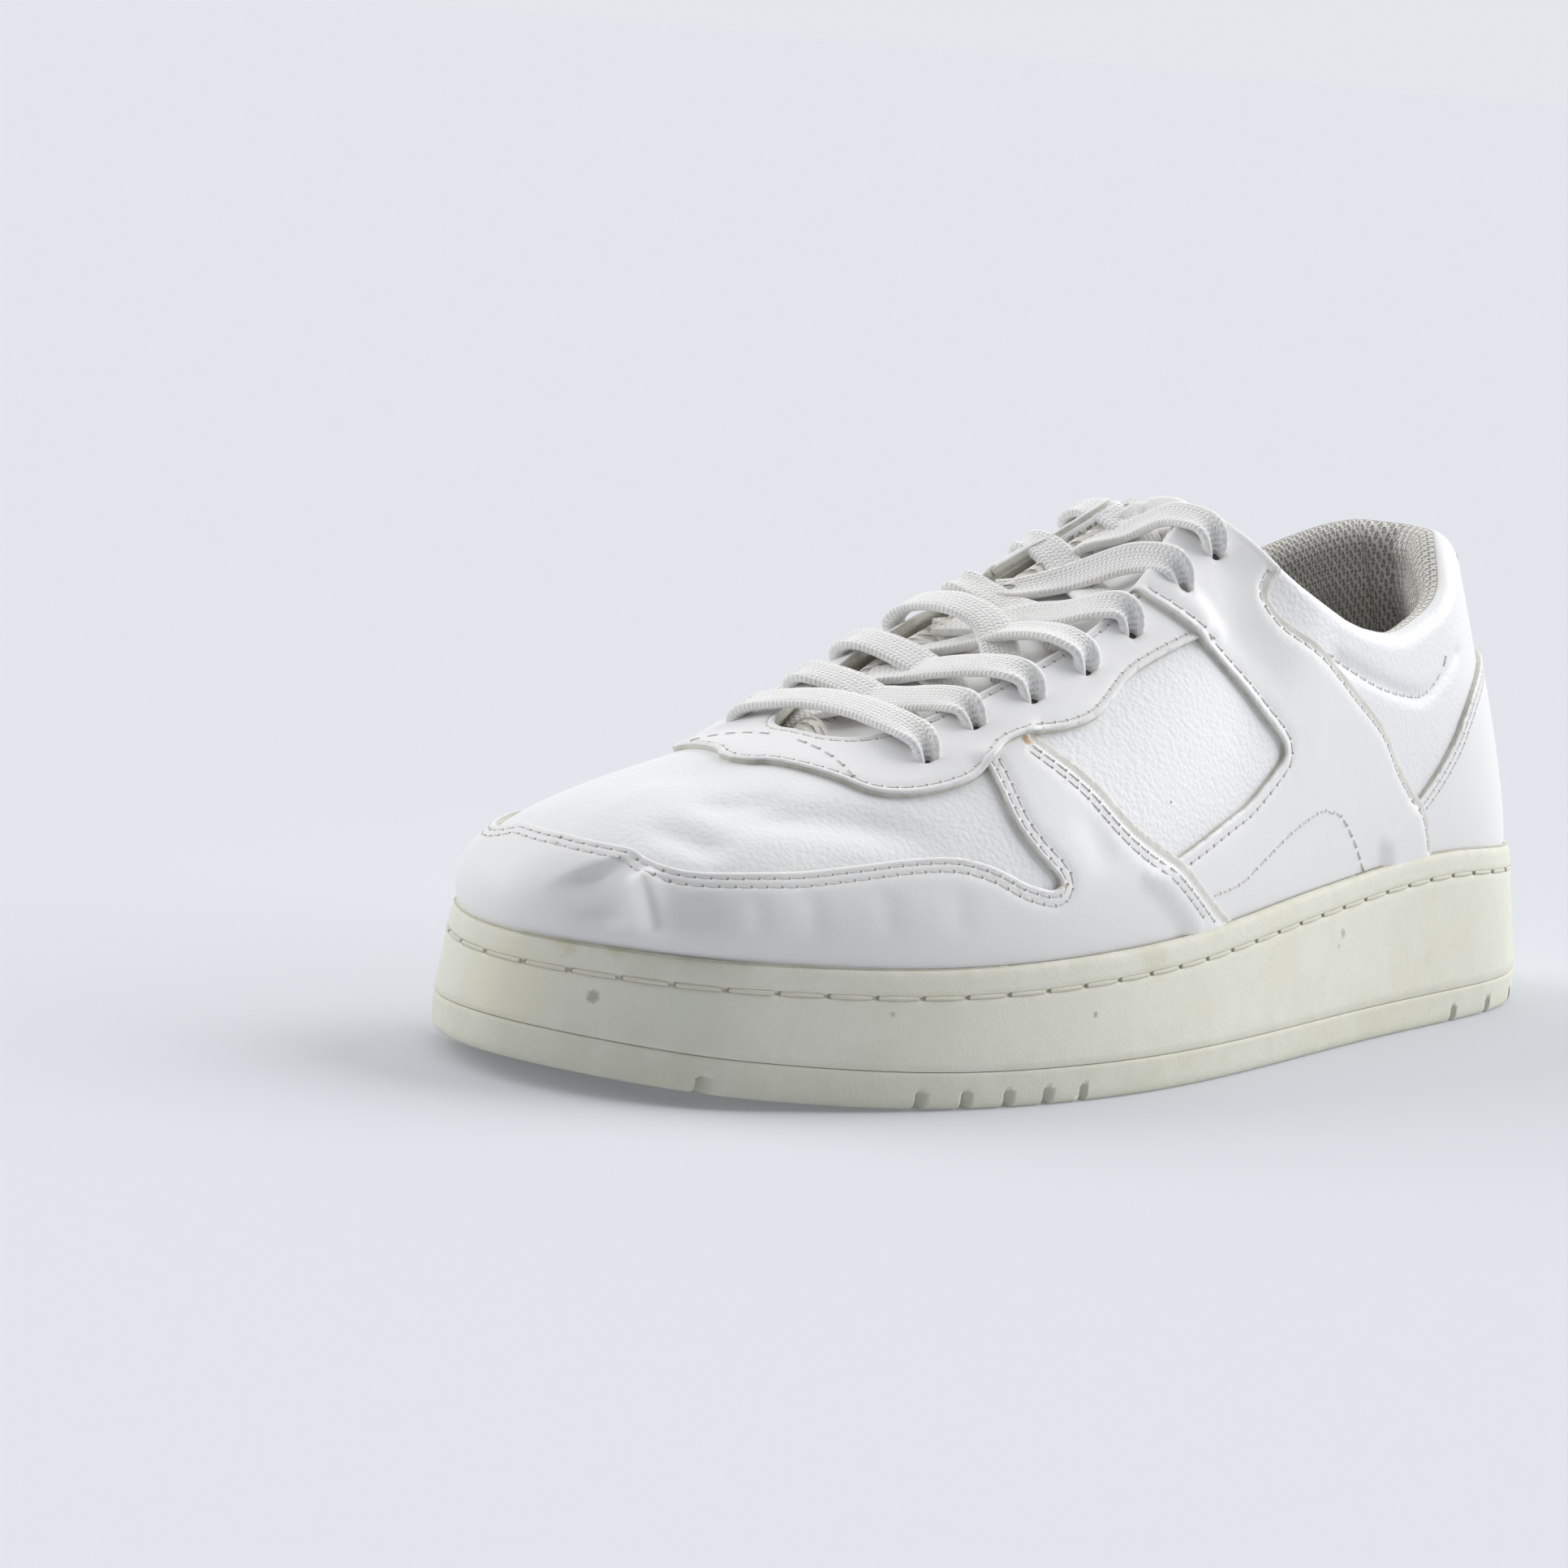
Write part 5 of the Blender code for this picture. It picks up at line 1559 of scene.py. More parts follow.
@dataclass
class Overlays:
    """Leather panels sewn on the upper, and their stitch rows.

    Attributes:
        last: The form under the panels.
        pitch: Length from one stitch to the next.
    """

    last: Last
    pitch: float = 3.0

    def __post_init__(self) -> None:
        """Lay out the panels on the flat pattern."""
        cut, skived, double, single = Edge.CUT, Edge.SKIVED, (1.3, 3.0), (1.7,)
        top = Side([(100, 48.5), (97, 46.8), (95.8, 45.4), (94.9, 41.2), (93.9, 38.3),
                    (92.5, 36.6), (89, 36), (86, 35.2), (83, 35.6), (80, 35.8), (77.6, 34.7),
                    (75.5, 32.2), (73.2, 27.3), (71, 21.5), (69.4, 18.6)], cut, double)
        notch = Side([(69.4, 18.6), (68.8, 18.0), (68.3, 18.3), (68.4, 20.5), (70.3, 28.8),
                      (71.9, 39.1), (73.4, 58.0)], cut, double)
        strap = Side([(69.6, 58.0), (68.2, 51.0), (65.2, 39.2), (61.9, 27.2), (57.1, 16.0),
                      (52.3, 3.8), (49.8, -2)], skived, (3.7, 5.4))
        self.guard = Panel(self.last, "toe_guard_visual", [
            top, notch, Side([(73.4, 58), (69.6, 58)]), strap, Side([(49.8, -2), (150.2, -2)]),
            strap.inner(), Side([(130.4, 58), (126.6, 58)]), notch.inner(), top.inner()],
            strip=2.6)

        lower = Side([(89, 100), (88.2, 94), (87.3, 90.6), (85.4, 80.5), (83.4, 71.2),
                      (81.1, 61.6), (78, 55.5), (74.5, 52.8), (72.7, 55), (71.4, 57.5),
                      (69, 55.9), (66.9, 53.4), (64.9, 52.4), (63.5, 53.4), (61.2, 56.8),
                      (58.6, 57.3), (53.0, 56.0)], cut, single)
        rear = Side([(53.0, 56.0), (54.0, 63.0), (55.6, 70.0), (56.6, 77.0)])
        throat = Side([(56.6, 77.0), (60.2, 74.2), (64, 72.6), (69, 73.6), (73, 76),
                       (77, 79.6), (80.2, 85), (82.0, 92), (82.6, 100)], cut, single)
        self.eyestay = Panel(self.last, "eyestay_visual", [
            lower, rear, throat, throat.inner(True), rear.inner(True), lower.inner(True)],
            across=True,
            holes=[(a, b) for a, b in EYELETS[:5]] + [(a, 200 - b) for a, b in EYELETS[:5]])

        front = Side([(60.8, 73.8), (59.8, 75.0), (59.0, 74.6), (58.2, 70.1), (56.3, 62.2),
                      (54.3, 55.0), (52.4, 48.4), (50.3, 41.9), (48.6, 36.6), (46.9, 31.9),
                      (46.3, 29.5), (46.6, 27.2), (49.8, 22.2), (52.8, 20.2), (60.5, 15.0)],
                     cut, (2.4,))
        foot = Side([(60.5, 15.0), (56.6, 4.5), (55.0, -2)])
        back = Side([(25.6, -2), (27.3, 11.7), (30.5, 22.0), (33.1, 30.1), (38.1, 38.3),
                     (42.6, 46.1), (46.0, 51.9), (47.3, 56.2), (47.5, 58.8), (46.4, 62.4)],
                    skived, (2.5,))
        peak = Side([(46.4, 62.4), (47.5, 67.0), (48.9, 73.4), (50.2, 79.6), (51.5, 83.4),
                     (52.8, 84.6), (54.5, 82.6), (57.0, 78.2), (60.8, 73.8)])
        quarter = [front, foot, Side([(55.0, -2), (25.6, -2)]), back, peak]
        holes = [EYELETS[5], EYELETS[6]]
        self.quarter = Panel(self.last, "quarter_overlay_lateral_visual", quarter, holes=holes)
        self.quarter_in = Panel(self.last, "quarter_overlay_medial_visual", [
            side.inner() for side in reversed(quarter)], holes=[(200 - a, b) for a, b in holes])
        rise = [(32.0, 6.0), (27.0, 16.0), (22.6, 26.0), (20.3, 31.5), (17, 37), (12, 41.5),
                (6, 44), (0, 45)]
        self.counter = Panel(self.last, "heel_counter_visual", [
            Side(rise, cut, (1.8, 3.6)), Side(behind(rise), cut, (1.8, 3.6)),
            Side([(-32, 6), (-31, -2)]), Side([(-31, -2), (31, -2)]), Side([(31, -2), (32, 6)])])
        self.tab = Panel(self.last, "heel_tab_visual", [
            Side([(4.6, 62.5), (4.2, 42.0)], cut, (1.4,)), Side([(4.2, 42.0), (-4.2, 42.0)]),
            Side([(-4.2, 42.0), (-4.6, 62.5)], cut, (1.4,)),
            Side([(-4.6, 62.5), (4.6, 62.5)])])
        self.panels = {"toe_guard": self.guard, "eyestay": self.eyestay,
                       "quarter_overlay_lateral": self.quarter,
                       "quarter_overlay_medial": self.quarter_in, "heel_counter": self.counter,
                       "heel_tab": self.tab}
        self.eyestay.under = (self.guard,)
        self.quarter.under = (self.eyestay, self.counter)
        self.quarter_in.under = (self.eyestay, self.counter)
        self.guard.under = (self.quarter, self.quarter_in)
        self.tab.under = (self.counter,)

    def build(self, face: bpy.types.Material, edge: bpy.types.Material,
              strip: bpy.types.Material) -> None:
        """Build the panels in place of the CAD ones."""
        for node, panel in self.panels.items():
            settle(panel.build(face, edge, strip), "overlay_leather", node)

    def seams(self) -> list[tuple[Array, Array, Array]]:
        """All stitch rows of the panels, the ornament row and the collar pad's row."""
        rows = []
        for panel in self.panels.values():
            rows += panel.stitches(self.pitch)
        for run, panel, across in ((ORNAMENT, self.quarter, False),
                                   (inner(ORNAMENT), self.quarter_in, False),
                                   (PAD_SEAM, None, False), (inner(PAD_SEAM), None, False),
                                   (FRONT_SEAM, self.eyestay, True),
                                   (inner(FRONT_SEAM, True), self.eyestay, True)):
            flat = smooth_run(np.array(run, float) * (PATTERN / 100.0), 1.0)

            def high(places: Array, on: Panel | None = panel) -> Array:
                """Height of the leather at pattern points."""
                return (on.height(places) if on else np.zeros(len(places))) + 2 * THREAD_LIFT

            rows.append(lay_row(self.last, flat, self.pitch * 1.2, across, high))
        return rows


@dataclass
class Tongue:
    """Padded tongue with a knit roll along its inner side, and the bare woven patch.

    Attributes:
        last: The form above the tongue.
        crest: Height of its face off the last before it sank.
        thickness: Its thickness.
        roll: Width of the knit roll along its edge.
    """

    last: Last
    crest: float = -3.4
    thickness: float = 4.8
    roll: float = 6.0

    def __post_init__(self) -> None:
        """Lay out the tongue and the patch on the flat pattern."""
        outer_side = Side([(85, 74), (80, 67), (72, 64), (64, 66), (58, 70), (53, 75), (51.2, 80)])
        top = Side([(51.2, 80), (50.5, 86), (50.3, 93), (50.3, 100), (50.2, 108), (50.0, 115),
                    (50.6, 120)])
        inner_side = Side([(50.6, 120), (54, 122.5), (58, 124), (62, 126), (66, 128), (72, 131),
                           (80, 133), (85, 127)])
        self.panel = Panel(self.last, "tongue_visual", [
            outer_side, top, inner_side, Side([(85, 127), (85, 74)])], across=True, step=1.5)
        self.patch = Panel(self.last, "tongue_label_visual", [
            Side([(53.4, 86), (50.5, 86.5)]), Side([(50.5, 86.5), (50.4, 98), (50.5, 109)]),
            Side([(50.5, 109), (53.4, 110)]), Side([(53.4, 110), (53.4, 86)])],
            across=True, thickness=0.7)

    def face(self, flat: Array) -> Array:
        """Height of the tongue's face off the last."""
        d, _ = self.panel.reach(flat)
        d = np.maximum(d, 0.0)
        edge = rounded(d / 3.0)
        a, b = (flat / PATTERN).T
        perk = 2.6 * self.curl(flat)[0] * smooth_step(0.0, 4.0, d)
        return self.crest - self.thickness / 2 * (1 - edge) - self.last.sunk(a, b) + perk

    def curl(self, flat: Array) -> tuple[Array, Array]:
        """Share of the knit roll's height at pattern points, and where the knit is."""
        a, b = (flat / PATTERN).T
        q = (2.0 - self.last.top_edge(a) - b) * PATTERN_GIRTH
        half = self.roll / 2
        return (np.sqrt(np.clip(1 - ((q - half + 0.6) / half)**2, 0, 1)),
                (q < self.roll - 0.6) & (b > 1.0))

    def build(self, leather: bpy.types.Material, knit: bpy.types.Material,
              woven: bpy.types.Material) -> None:
        """Build the tongue and its patch."""
        flat, faces = self.panel.cut()
        w, v = pattern(*flat.T, True)
        d = np.maximum(self.panel.reach(flat)[0], 0.0)
        high = self.face(flat)
        edge = rounded(d / 3.0)
        low = high - self.thickness * edge - 0.05
        top = self.last.raised(w, v, high, creased=False)
        under = self.last.raised(w, v, low, creased=False)
        count = len(flat)
        rim = open_rim(faces)
        solid = two_sided(faces, count)
        solid += [(j, i, count + i, count + j) for i, j in rim]
        centre = flat[np.array(faces)].mean(1)
        knitted = self.curl(centre)[1]
        look = [int(k) for k in knitted] + [1] * (len(faces) + len(rim))
        made = make_mesh("tongue_visual", np.vstack([top, under]), solid, (leather, knit), look,
                         uv=np.vstack([flat, flat]) * 0.62)
        settle(made, "tongue_leather", "tongue")
        self.patch.lift = lambda p: self.face(p) + 0.2
        settle(self.patch.build(woven, woven, woven), "label_woven", "tongue_label")


def steady_frame(along: Array, out: Array, follow: float = 0.35) -> Array:
    """Directions square to a line that turn towards out by a share from point to point."""
    middle = len(along) // 2
    frame = np.empty_like(out)
    frame[middle] = unit(out[middle] - along[middle] * (out[middle] @ along[middle]))
    for order in (range(middle + 1, len(along)), range(middle - 1, -1, -1)):
        for i in order:
            held = frame[i - order.step]
            held = held - along[i] * (held @ along[i])
            true = out[i] - along[i] * (out[i] @ along[i])
            trust = float(smooth_step(0.35, 0.75, np.linalg.norm(true)))
            frame[i] = unit(unit(held) * (1 - follow * trust) + unit(true) * follow * trust)
    return frame


@dataclass(frozen=True)
class Strand:
    """One run of the lace, by the places it goes through.

    Attributes:
        run: Station and rise in hundredths (past 100 over the foot) and height off the last.
        folds: For each place, how far the lace is curled up along its length, in degrees.
        tilt: How far it leans towards the toe, in degrees.
    """

    run: Sequence[tuple[float, float, float]]
    folds: Sequence[float]
    tilt: float = 0.0


@dataclass
class Lacing:
    """Flat lace: a bar at the first eyelets and six crossings.

    Attributes:
        last: The form under the lace.
        width: Width of the flat lace.
        thickness: Its thickness at the middle.
        step: Length of its faces.
        bed: Height of the tongue's face where it hasn't sunk.
        ring: Number of points round its section.
    """

    last: Last
    width: float = 8.0
    thickness: float = 2.3
    step: float = 0.8
    bed: float = -3.2
    ring: int = 22

    def strand(self, strand: Strand, start: int) -> tuple[Array, list[tuple[int, ...]], Array]:
        """Sweep the lace's section along a run.

        Args:
            strand: The run.
            start: Number of the first vertex.

        Returns:
            The points, faces and surface map of the swept lace.
        """
        run = np.array(strand.run, float)
        a, b = run[:, 0] / 100, run[:, 1] / 100
        face = self.bed + self.thickness / 2 - self.last.sunk(a, b)
        within = np.abs(b - 1.0) < 1.0 - self.last.top_edge(a) + 0.02
        run[:, 2] = np.where(within, np.maximum(run[:, 2], face), run[:, 2])
        w, v = pattern(a * PATTERN_LENGTH, b * PATTERN_GIRTH, True)
        knots = self.last.raised(w, v, run[:, 2], creased=False)
        state = np.column_stack([knots, self.last.normal(w, v) * 20.0, strand.folds])
        fine = smooth_run(state, self.step * 3)
        fine = even_by_length(fine, self.step * (1.0))
        centre, out, fold = fine[:, :3], unit(fine[:, 3:6]), np.radians(np.clip(fine[:, 6], 1, 330))
        along = unit(np.gradient(centre, axis=0))
        frame = steady_frame(along, out)
        side = unit(np.cross(along, frame))
        if strand.tilt:
            turn = math.radians(strand.tilt)
            frame, side = (frame * math.cos(turn) + side * math.sin(turn),
                           side * math.cos(turn) - frame * math.sin(turn))
        half, ring, points, uv = self.width / 2, self.ring, [], []
        around = np.linspace(0, 2 * math.pi, ring, endpoint=False)
        across = np.sign(np.cos(around)) * np.abs(np.cos(around))**0.85
        high = np.sign(np.sin(around)) * np.abs(np.sin(around))**0.70 * self.thickness / 2
        gone = travel(centre)
        for i in range(len(centre)):
            s = across * half
            radius = self.width / fold[i]
            bend = s / radius
            x = np.sin(bend) * (radius - high)
            y = radius * (1 - np.cos(bend)) + high * np.cos(bend)
            y = y - np.mean(radius * (1 - np.cos(bend))) * 0.5
            points.append(centre[i] + side[i] * x[:, None] + frame[i] * y[:, None])
            uv.append(np.column_stack([s + half, np.full(ring, gone[i])]))
        faces = grid_faces(len(centre), ring, closed=True, start=start)
        faces.append(tuple(start + k for k in range(ring)))
        faces.append(tuple(start + (len(centre) - 1) * ring + k for k in reversed(range(ring))))
        return np.vstack(points), faces, np.vstack(uv)

    def piece(self, name: str, strands: Sequence[Strand], cotton: bpy.types.Material,
              node: str) -> None:
        """Make one piece of one or two strands in place of a CAD node."""
        points, faces, uv = [], [], []
        count = 0
        for strand in strands:
            p, f, m = self.strand(strand, count)
            points.append(p)
            faces += f
            uv.append(m)
            count += len(p)
        made = make_mesh(name, np.vstack(points), faces, (cotton,), uv=np.vstack(uv))
        settle(made, "lace_cotton", node)

    def build(self, cotton: bpy.types.Material) -> None:
        """Build the bar and the crossings."""
        self.piece("lace_bar_visual", [BAR], cotton, "lace_bar")
        for n, pair in enumerate(zip(UNDER, OVER)):
            self.piece(f"lace_crossing_{n + 1}_visual", pair, cotton, f"lace_crossing_{n + 1}")


BAR = Strand([(76.9, 66.0, -2.5), (76.9, 66.6, 0.4), (77.0, 69, 2.6), (77.4, 74, 3.2),
              (78.2, 83, 3.1), (78.9, 94, 3.1), (78.8, 108, 3.2), (77.9, 122, 3.2),
              (77.3, 130, 2.9), (77.0, 133.4, 0.6), (76.9, 134, -2.5)],
             (290, 270, 190, 80, 30, 20, 20, 30, 90, 260, 290))
OVER = (
    Strand([(77.6, 126, -4.6), (76.8, 118, -4.4), (75.6, 107, -2.8), (75.5, 94, -1.4),
            (74.6, 83, 0.9), (73.8, 75, 2.7), (73.4, 71, 2.6), (73.2, 68.6, 0.4),
            (73.1, 68.2, -2.5)], (40, 40, 30, 20, 30, 80, 190, 270, 290), 6.0),
    Strand([(73.6, 124, -6.2), (72.6, 118, -5.6), (72.1, 108, -3.9), (72.0, 96, -2.3),
            (70.9, 83, 0.7), (69.8, 74, 2.9), (69.1, 69, 2.7), (68.9, 66.3, 0.4),
            (68.8, 65.8, -2.5)], (40, 40, 30, 20, 20, 60, 160, 260, 290)),
    Strand([(69.6, 124, -6.8), (68.8, 115, -6.8), (68.2, 104, -5.2), (67.4, 90, -1.8),
            (66.0, 77, 2.2), (65.0, 70, 3.2), (64.6, 67, 2.6), (64.5, 65.3, 0.4),
            (64.4, 64.9, -2.5)], (40, 40, 60, 70, 60, 90, 170, 260, 290), -8.0),
    Strand([(65.6, 124, -7.6), (65.2, 114, -7.6), (64.4, 102, -6.6), (63.4, 88, -4.4),
            (62.0, 78, 0.4), (61.0, 73, 2.7), (60.4, 69.6, 2.5), (60.2, 67.2, 0.4),
            (60.1, 66.7, -2.5)], (60, 50, 40, 40, 50, 90, 190, 270, 290), 10.0),
    Strand([(61.0, 122, -7.6), (60.6, 117, -7.4), (59.8, 106, -6.2), (57.8, 87, -1.6),
            (56.2, 77, 2.2), (55.5, 72.4, 2.8), (55.1, 69.4, 0.5), (55.0, 68.7, -2.5)],
           (120, 100, 70, 60, 90, 180, 270, 290), 22.0),
    Strand([(56.6, 121, -6.0), (56.0, 115, -6.2), (54.7, 104, -4.6), (53.3, 90, -0.4),
            (52.1, 80, 2.6), (51.6, 75.0, 3.0), (51.4, 72.3, 0.5), (51.3, 71.7, -2.5)],
           (90, 80, 60, 60, 80, 180, 270, 290), 4.0),
)
UNDER = (
    Strand([(77.3, 77, -4.8), (76.8, 84, -5.0), (75.8, 98, -4.4), (74.8, 113, -0.6),
            (73.9, 124, 2.6), (73.4, 129, 2.8), (73.1, 131.5, 0.6), (73.0, 132, -2.5)],
           (30, 30, 20, 20, 30, 120, 260, 290)),
    Strand([(73.5, 78, -5.2), (72.9, 86, -5.8), (72.0, 99, -5.4), (71.0, 113, -1.4),
            (69.9, 124, 2.4), (69.1, 131, 3.0), (68.8, 133.8, 0.6), (68.7, 134.4, -2.5)],
           (30, 30, 20, 20, 30, 120, 260, 290)),
    Strand([(69.4, 76, -5.4), (68.7, 86, -5.2), (67.6, 100, -2.2), (66.6, 113, 1.6),
            (65.4, 125, 3.6), (64.7, 132, 3.2), (64.4, 134.6, 0.6), (64.3, 135.2, -2.5)],
           (30, 30, 20, 25, 30, 110, 260, 290)),
    Strand([(64.9, 76, -6.4), (64.5, 85, -8.0), (63.8, 100, -9.0), (62.6, 114, -6.2),
            (61.7, 123, -0.6), (60.8, 129, 2.8), (60.1, 132.8, 0.6), (60.0, 133.4, -2.5)],
           (40, 40, 30, 30, 40, 120, 260, 290)),
    Strand([(60.6, 79, -6.4), (60.4, 86, -8.2), (59.9, 98, -9.2), (58.6, 110, -6.6),
            (56.8, 120, -1.0), (55.6, 127, 2.8), (55.0, 130.6, 0.8), (54.9, 131.4, -2.5)],
           (40, 40, 30, 30, 40, 110, 250, 290)),
    Strand([(55.6, 84, -4.6), (55.1, 91, -6.2), (54.2, 101, -7.0), (53.0, 113, -2.6),
            (52.0, 121, 1.6), (51.5, 126, 2.8), (51.2, 128.0, 0.8), (51.2, 128.6, -2.5)],
           (40, 40, 30, 30, 40, 110, 250, 290)),
)


@dataclass
class Footbed:
    """Insole on the cup's floor, dished a little.

    Attributes:
        last: The form above it.
        clearance: How far it stays inside the upper.
        low: Height of its underside.
        high: Height of its top at the rim.
        columns: Number of columns round it.
    """

    last: Last
    clearance: float = 4.3
    low: float = 14.0
    high: float = 18.3
    columns: int = 240

    def build(self, cloth: bpy.types.Material) -> bpy.types.Object:
        """Build the footbed."""
        w = np.arange(self.columns) / self.columns
        inset = self.last.edge_to_upper(self.last.station(w)) + self.clearance
        rings = [(inset + 8.0, self.low), (inset + 0.4, self.low), (inset, self.low + 0.6),
                 (inset, self.high - 0.6), (inset + 0.5, self.high), (inset + 3.0, self.high),
                 (inset + 9.0, self.high - 0.9), (inset + 16.0, self.high - 1.5)]
        points = [np.column_stack([self.last.outline(w, i)[0], np.full(self.columns, z)])
                  for i, z in rings]
        return make_mesh("insole_visual", np.vstack(points),
                         shell_faces(len(rings), self.columns), (cloth,))


def toward(azimuth: float, elevation: float) -> Vector:
    """Direction at angles in radians, round from +X and up from the floor."""
    level = math.cos(elevation)
    return Vector((math.cos(azimuth) * level, math.sin(azimuth) * level, math.sin(elevation)))


@dataclass
class Studio:
    """Floor, lights and camera.

    Attributes:
        azimuth: Direction of the camera round the shoe, in radians from +X.
        elevation: Height of the camera, in radians.
        roll: Roll of the camera, in radians.
        reach: Distance of the camera.
        target: The point it looks at.
        focal: Focal length in pixels of the frame.
        frame: Width of the frame in pixels.
        backdrop: Colour of the background.
        paper: Colour of the floor's glow.
        glow: Strength of the floor's glow.
        albedo: Colour of the floor itself.
        overhead: Brightness overhead as a share of the background's.
        front: Brightness on the camera's side as a share of the background's.
    """

    azimuth: float = 0.715585
    elevation: float = 0.143827
    roll: float = 0.089814
    reach: float = 1100.0
    target: tuple[float, float, float] = (8.66, -67.986, 39.22)
    focal: float = 6361.69
    frame: float = 1932.0
    backdrop: tuple[float, float, float] = (0.775, 0.793, 0.830)
    paper: tuple[float, float, float] = (0.96, 1.0, 1.08)
    glow: float = 0.12
    albedo: tuple[float, float, float] = (0.535, 0.547, 0.568)
    overhead: float = 0.62
    front: float = 0.30

    def camera(self) -> None:
        """Create the camera at the photograph's place."""
        away = toward(self.azimuth, self.elevation)
        right = (-away).cross(Vector((0, 0, 1))).normalized()
        up = right.cross(-away)
        c, s = math.cos(self.roll), math.sin(self.roll)
        right, up = right * c + up * s, up * c - right * s
        place = Matrix((right, up, away)).transposed().to_4x4()
        place.translation = (Vector(self.target) + away * self.reach) * MM
        data = bpy.data.cameras.new("camera")
        data.sensor_width = SENSOR
        data.lens = self.focal * SENSOR / self.frame
        data.clip_start, data.clip_end = 0.05, 1000.0
        item = add_item("camera", data)
        item.matrix_world = place
        bpy.context.scene.camera = item

    def floor(self) -> None:
        """Lay a wide pale floor that glows a little, as paper lit from all round does."""
        g = Graph("studio paper")
        g.shader.inputs["Emission Color"].default_value = (*self.paper, 1.0)
        g.finish(self.albedo, 1.0, Specular_IOR_Level=0.0, Emission_Strength=self.glow)
        radii, count = (0.5, 2.0, 10.0, 60.0, 400.0), 96
        turn = np.linspace(0, 2 * math.pi, count, endpoint=False)
        points = [(r * math.cos(t), r * math.sin(t), 0.0) for r in radii for t in turn]
        points.append((0.0, 0.0, 0.0))
        faces = grid_faces(len(radii), count, closed=True)
        faces += [(len(points) - 1, j, (j + 1) % count) for j in range(count)]
        mesh = bpy.data.meshes.new("floor")
        mesh.from_pydata(points, [], faces)
        mesh.materials.append(g.material)
        item = add_item("floor", mesh)

    @staticmethod
    def sun(name: str, azimuth: float, elevation: float, strength: float) -> None:
        """Add a broad soft light from a direction, with angles in degrees."""
        data = bpy.data.lights.new(name, "SUN")
        data.energy, data.angle = strength, math.radians(SUN_ANGLE)
        away = toward(math.radians(azimuth), math.radians(elevation))
        add_item(name, data).rotation_euler = away.to_track_quat("Z", "Y").to_euler()

    def sky(self) -> None:
        """Give the world the paper's brightness at the horizon and less above it."""
        world = bpy.data.worlds.new("studio")
        world.use_nodes = True
        tree = world.node_tree
        way = tree.nodes.new("ShaderNodeTexCoord").outputs["Generated"]
        shade: Any = self.backdrop
        for side, low, high, share in ((toward(0.0, math.pi / 2), 0.12, 0.60, self.overhead),
                                       (toward(self.azimuth, 0.0), -0.30, 0.80, self.front)):
            dot = add_node(tree, "ShaderNodeVectorMath", {"operation": "DOT_PRODUCT"},
                           {0: way, 1: side})
            ramp = add_node(tree, "ShaderNodeMapRange", {"interpolation_type": "SMOOTHSTEP"}, {
                "Value": dot.outputs["Value"], "From Min": low, "From Max": high,
                "To Min": 1.0, "To Max": share})
            scale = add_node(tree, "ShaderNodeVectorMath", {"operation": "SCALE"},
                             {0: shade, "Scale": ramp.outputs[0]})
            shade = scale.outputs[0]
        tree.links.new(shade, tree.nodes["Background"].inputs["Color"])
        bpy.context.scene.world = world

    def build(self) -> None:
        """Set up the studio."""
        bpy.context.scene.view_settings.view_transform = "Standard"
        self.sky()
        self.floor()
        for name, azimuth, elevation, strength in SUNS:
            self.sun(name, azimuth, elevation, strength)
        self.camera()


SENSOR = 36.0
SUN_ANGLE = 50.0
SUNS = (("key", 156.0, 34.0, 2.35), ("fill", -66.0, 36.0, 1.35), ("top", -140.0, 70.0, 0.50))

ORNAMENT = [(53.4, 6.8), (50.1, 7.3), (47.9, 9.7), (44.5, 13.7), (41.4, 15.9), (40, 15.6),
            (38.2, 13.8), (36, 7.7), (34.1, 0)]
PAD_SEAM = [(42, 45), (39.7, 42.6), (36, 39.1), (32.2, 36.4), (27.4, 34.8), (24.9, 36.4),
            (23.2, 39.2), (22, 43.1)]
FRONT_SEAM = [(84, 96), (83.6, 89.1), (83, 80.7), (82.5, 73.3), (82.1, 67.7)]
PAD_FOLD = [(41, 44), (37.1, 40.4), (33.4, 37.8), (29.6, 35.6), (27, 34.8), (24.7, 36.4),
            (21.5, 40.5), (18, 45)]

CREASES = (
    Crease([(97.2, 35), (96.7, 28), (95.9, 20), (95.6, 5)], -1.9, 5.6, 0.20),
    Crease([(95.1, 36), (94.2, 22), (93.5, 6)], 1.9, 2.2, 0.18),
    Crease([(96.4, 64), (93.4, 54), (90.6, 44)], -1.1, 3.6),
    Crease([(93, 63), (88, 61), (82.3, 51.8), (75.8, 36.5)], -1.3, 4.4),
    Crease([(94.5, 76), (91.1, 72.4), (86.7, 69.4)], -0.8, 3.4),
    Crease([(92.2, 27.4), (91.6, 11)], -0.35, 2.2),
    Crease([(89, 27.8), (87.9, 8.9)], -0.35, 2.2),
    Crease([(85.2, 28.5), (84.2, 7.9)], -0.3, 2.4),
    Crease([(80.5, 28.3), (79.7, 8.3)], -0.28, 2.8),
    Crease([(75.7, 25), (75.3, 8.5)], -0.25, 2.8),
    Crease([(66.8, 36), (64, 17)], -0.4, 4.0),
    Crease([(54, 60), (50.5, 50), (46, 36)], -0.45, 7.0),
    Crease(PAD_FOLD, -0.9, 1.6, 0.05),
    Crease([(200 - a, b) for a, b in PAD_FOLD], -0.9, 1.6, 0.05),
)

SPOTS = (
    Spot((54.2, 32.4, 66.5), 1.6, (0.45, 0.20, 0.05), 0.85),
    Spot((79.7, 42.1, 46.5), 0.9, (0.62, 0.42, 0.10), 0.7),
    Spot((59.7, 49.4, 41.2), 0.8, (0.60, 0.42, 0.14), 0.7),
    Spot((23.8, 45.8, 55.0), 0.5, (0.20, 0.19, 0.17), 0.8),
)

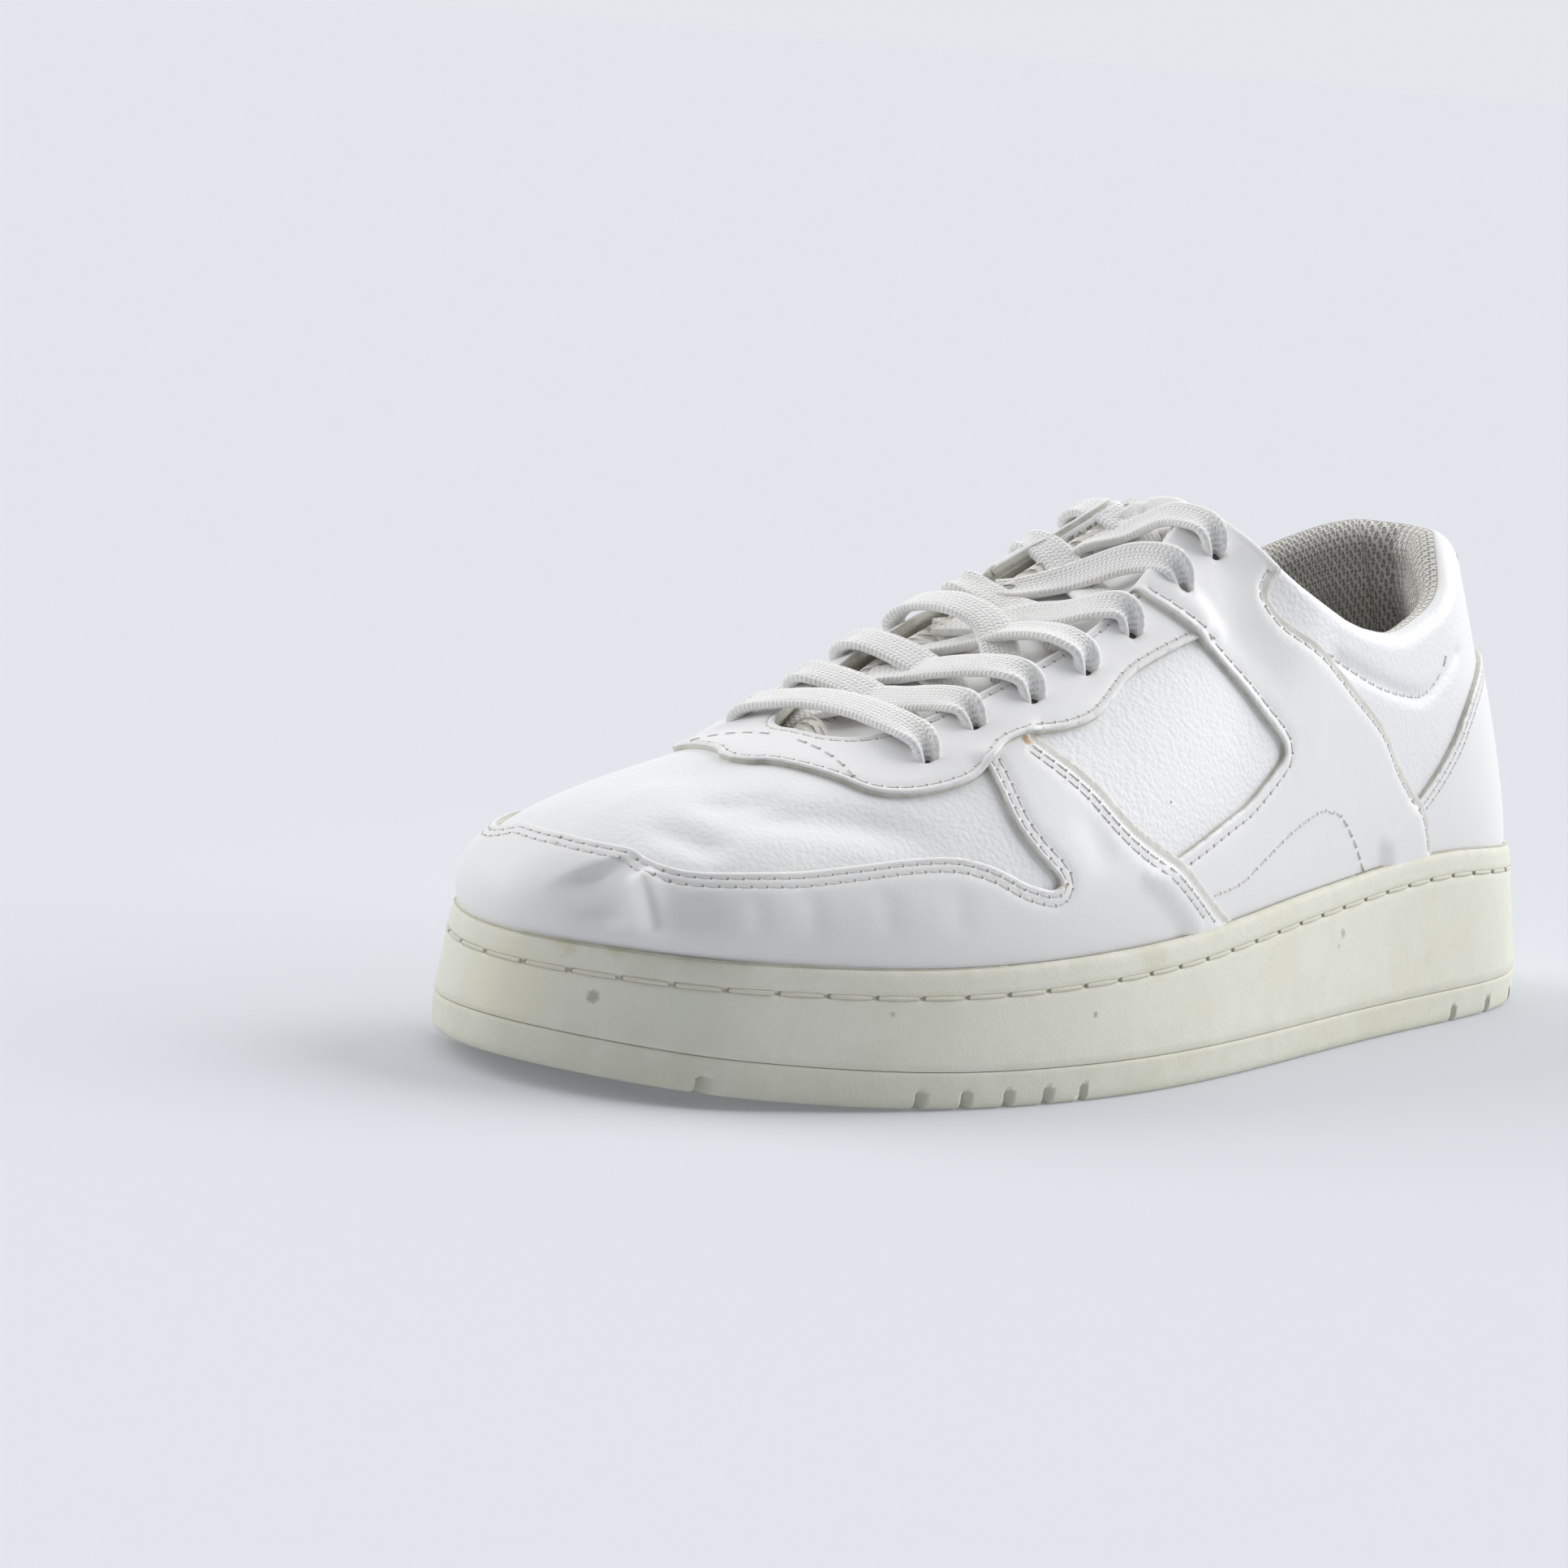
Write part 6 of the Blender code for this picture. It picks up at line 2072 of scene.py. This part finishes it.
SOLE_SPOTS = (
    Spot((144.2, 7.9, 18.6), 1.6, (0.26, 0.25, 0.21), 0.6),
    Spot((-41.3, 44.7, 23.9), 1.3, (0.32, 0.30, 0.25), 0.55),
    Spot((-39.5, 45.6, 21.4), 0.8, (0.32, 0.30, 0.25), 0.5),
    Spot((34.5, 54.0, 26.5), 6.0, (0.66, 0.62, 0.46), 0.45),
    Spot((144.9, 1.2, 27.8), 3.5, (0.64, 0.61, 0.42), 0.55),
    Spot((140.8, 9.8, 28.1), 3.0, (0.60, 0.57, 0.38), 0.5),
    Spot((53.3, 54.9, 16.7), 0.8, (0.26, 0.25, 0.21), 0.6),
    Spot((100.5, 43.7, 18.5), 0.7, (0.30, 0.29, 0.24), 0.5),
    Spot((148.9, -10.8, 17.0), 15.0, (0.80, 0.78, 0.58), 0.5),
    Spot((-79.7, 40.6, 15.1), 3.0, (0.70, 0.66, 0.52), 0.4),
)


def main() -> None:
    """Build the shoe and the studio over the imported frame."""
    logging.basicConfig(level=logging.INFO, format="%(name)s: %(message)s")
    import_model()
    last = Last(CREASES)

    smooth = Leather("overlay leather", (0.86, 0.855, 0.85), spots=SPOTS).build()
    pebbled = Leather("vamp leather", (0.865, 0.865, 0.87), Grain.PEBBLED, spots=SPOTS).build()
    raw = CutEdge("raw edge", (0.68, 0.67, 0.60), (0.54, 0.53, 0.45)).build()
    strip = CutEdge("skived strip", (0.74, 0.73, 0.69), (0.66, 0.65, 0.60)).build()
    rubber = Rubber("cup rubber", (0.80, 0.80, 0.70), (0.755, 0.74, 0.60), spots=SOLE_SPOTS).build()
    tread = Rubber("tread rubber", (0.79, 0.79, 0.68), (0.75, 0.735, 0.59), hatch=True).build()
    knit = Knit("grey knit", (0.88, 0.85, 0.79), (0.46, 0.44, 0.40)).build()
    cotton = Braid("lace cotton", (0.95, 0.945, 0.92)).build()
    woven = Cloth("woven patch", (0.93, 0.925, 0.91), (0.88, 0.87, 0.85), 0.5).build()
    cloth = Cloth("inner cloth", (0.74, 0.71, 0.62), (0.64, 0.60, 0.47), 1.4).build()
    footbed = Cloth("footbed cloth", (0.16, 0.16, 0.16), (0.12, 0.12, 0.12), 0.8).build()
    thread = Cloth("seam thread", (0.80, 0.79, 0.75), (0.70, 0.69, 0.64), 0.25, 0.05).build()
    # Painted shade for the needle holes of the panel stitches.
    pit_shade = Cloth("needle hole shade", (0.28, 0.27, 0.24), (0.20, 0.19, 0.165), 0.3, 0.02).build()

    Studio().build()
    sole = SoleUnit(last)
    settle(sole.cup(rubber), "cup_rubber", "cup_sole")
    settle(sole.tread(tread), "tread_rubber", "outsole")
    settle(Footbed(last).build(footbed), "footbed", "insole")
    upper = Upper(last)
    settle(upper.leather(pebbled, raw, cloth), "upper_leather", "upper")
    lining = settle(upper.lining(knit), "lining_knit", "collar_lining")
    overlays = Overlays(last)
    overlays.build(smooth, raw, strip)
    Tongue(last).build(smooth, knit, woven)
    Lacing(last).build(cotton)

    stitching = StitchTree("stitches", thread, pit_shade)
    seams = stitching.lay("panel_stitches", overlays.seams(), Stitch_length=2.1,
                          Thread_radius=0.21, Arch=0.12, Hole_radius=0.34, Sink=0.13)
    settle(seams, "overlay_leather")
    cream = Cloth("sole thread", (0.77, 0.76, 0.66), (0.68, 0.66, 0.55), 0.25, 0.05).build()
    # Painted shade for the holes of the channel stitches.
    hole_shade = Cloth("sole hole shade", (0.40, 0.38, 0.31), (0.30, 0.28, 0.22), 0.3, 0.02).build()
    cord = StitchTree("sole stitches", cream, hole_shade).lay(
        "channel_stitches", [sole.seam()], Stitch_length=8.4, Thread_radius=0.42, Arch=0.30,
        Hole_radius=0.45, Sink=0.2)
    settle(cord, "cup_rubber")


if __name__ == "__main__":
    main()
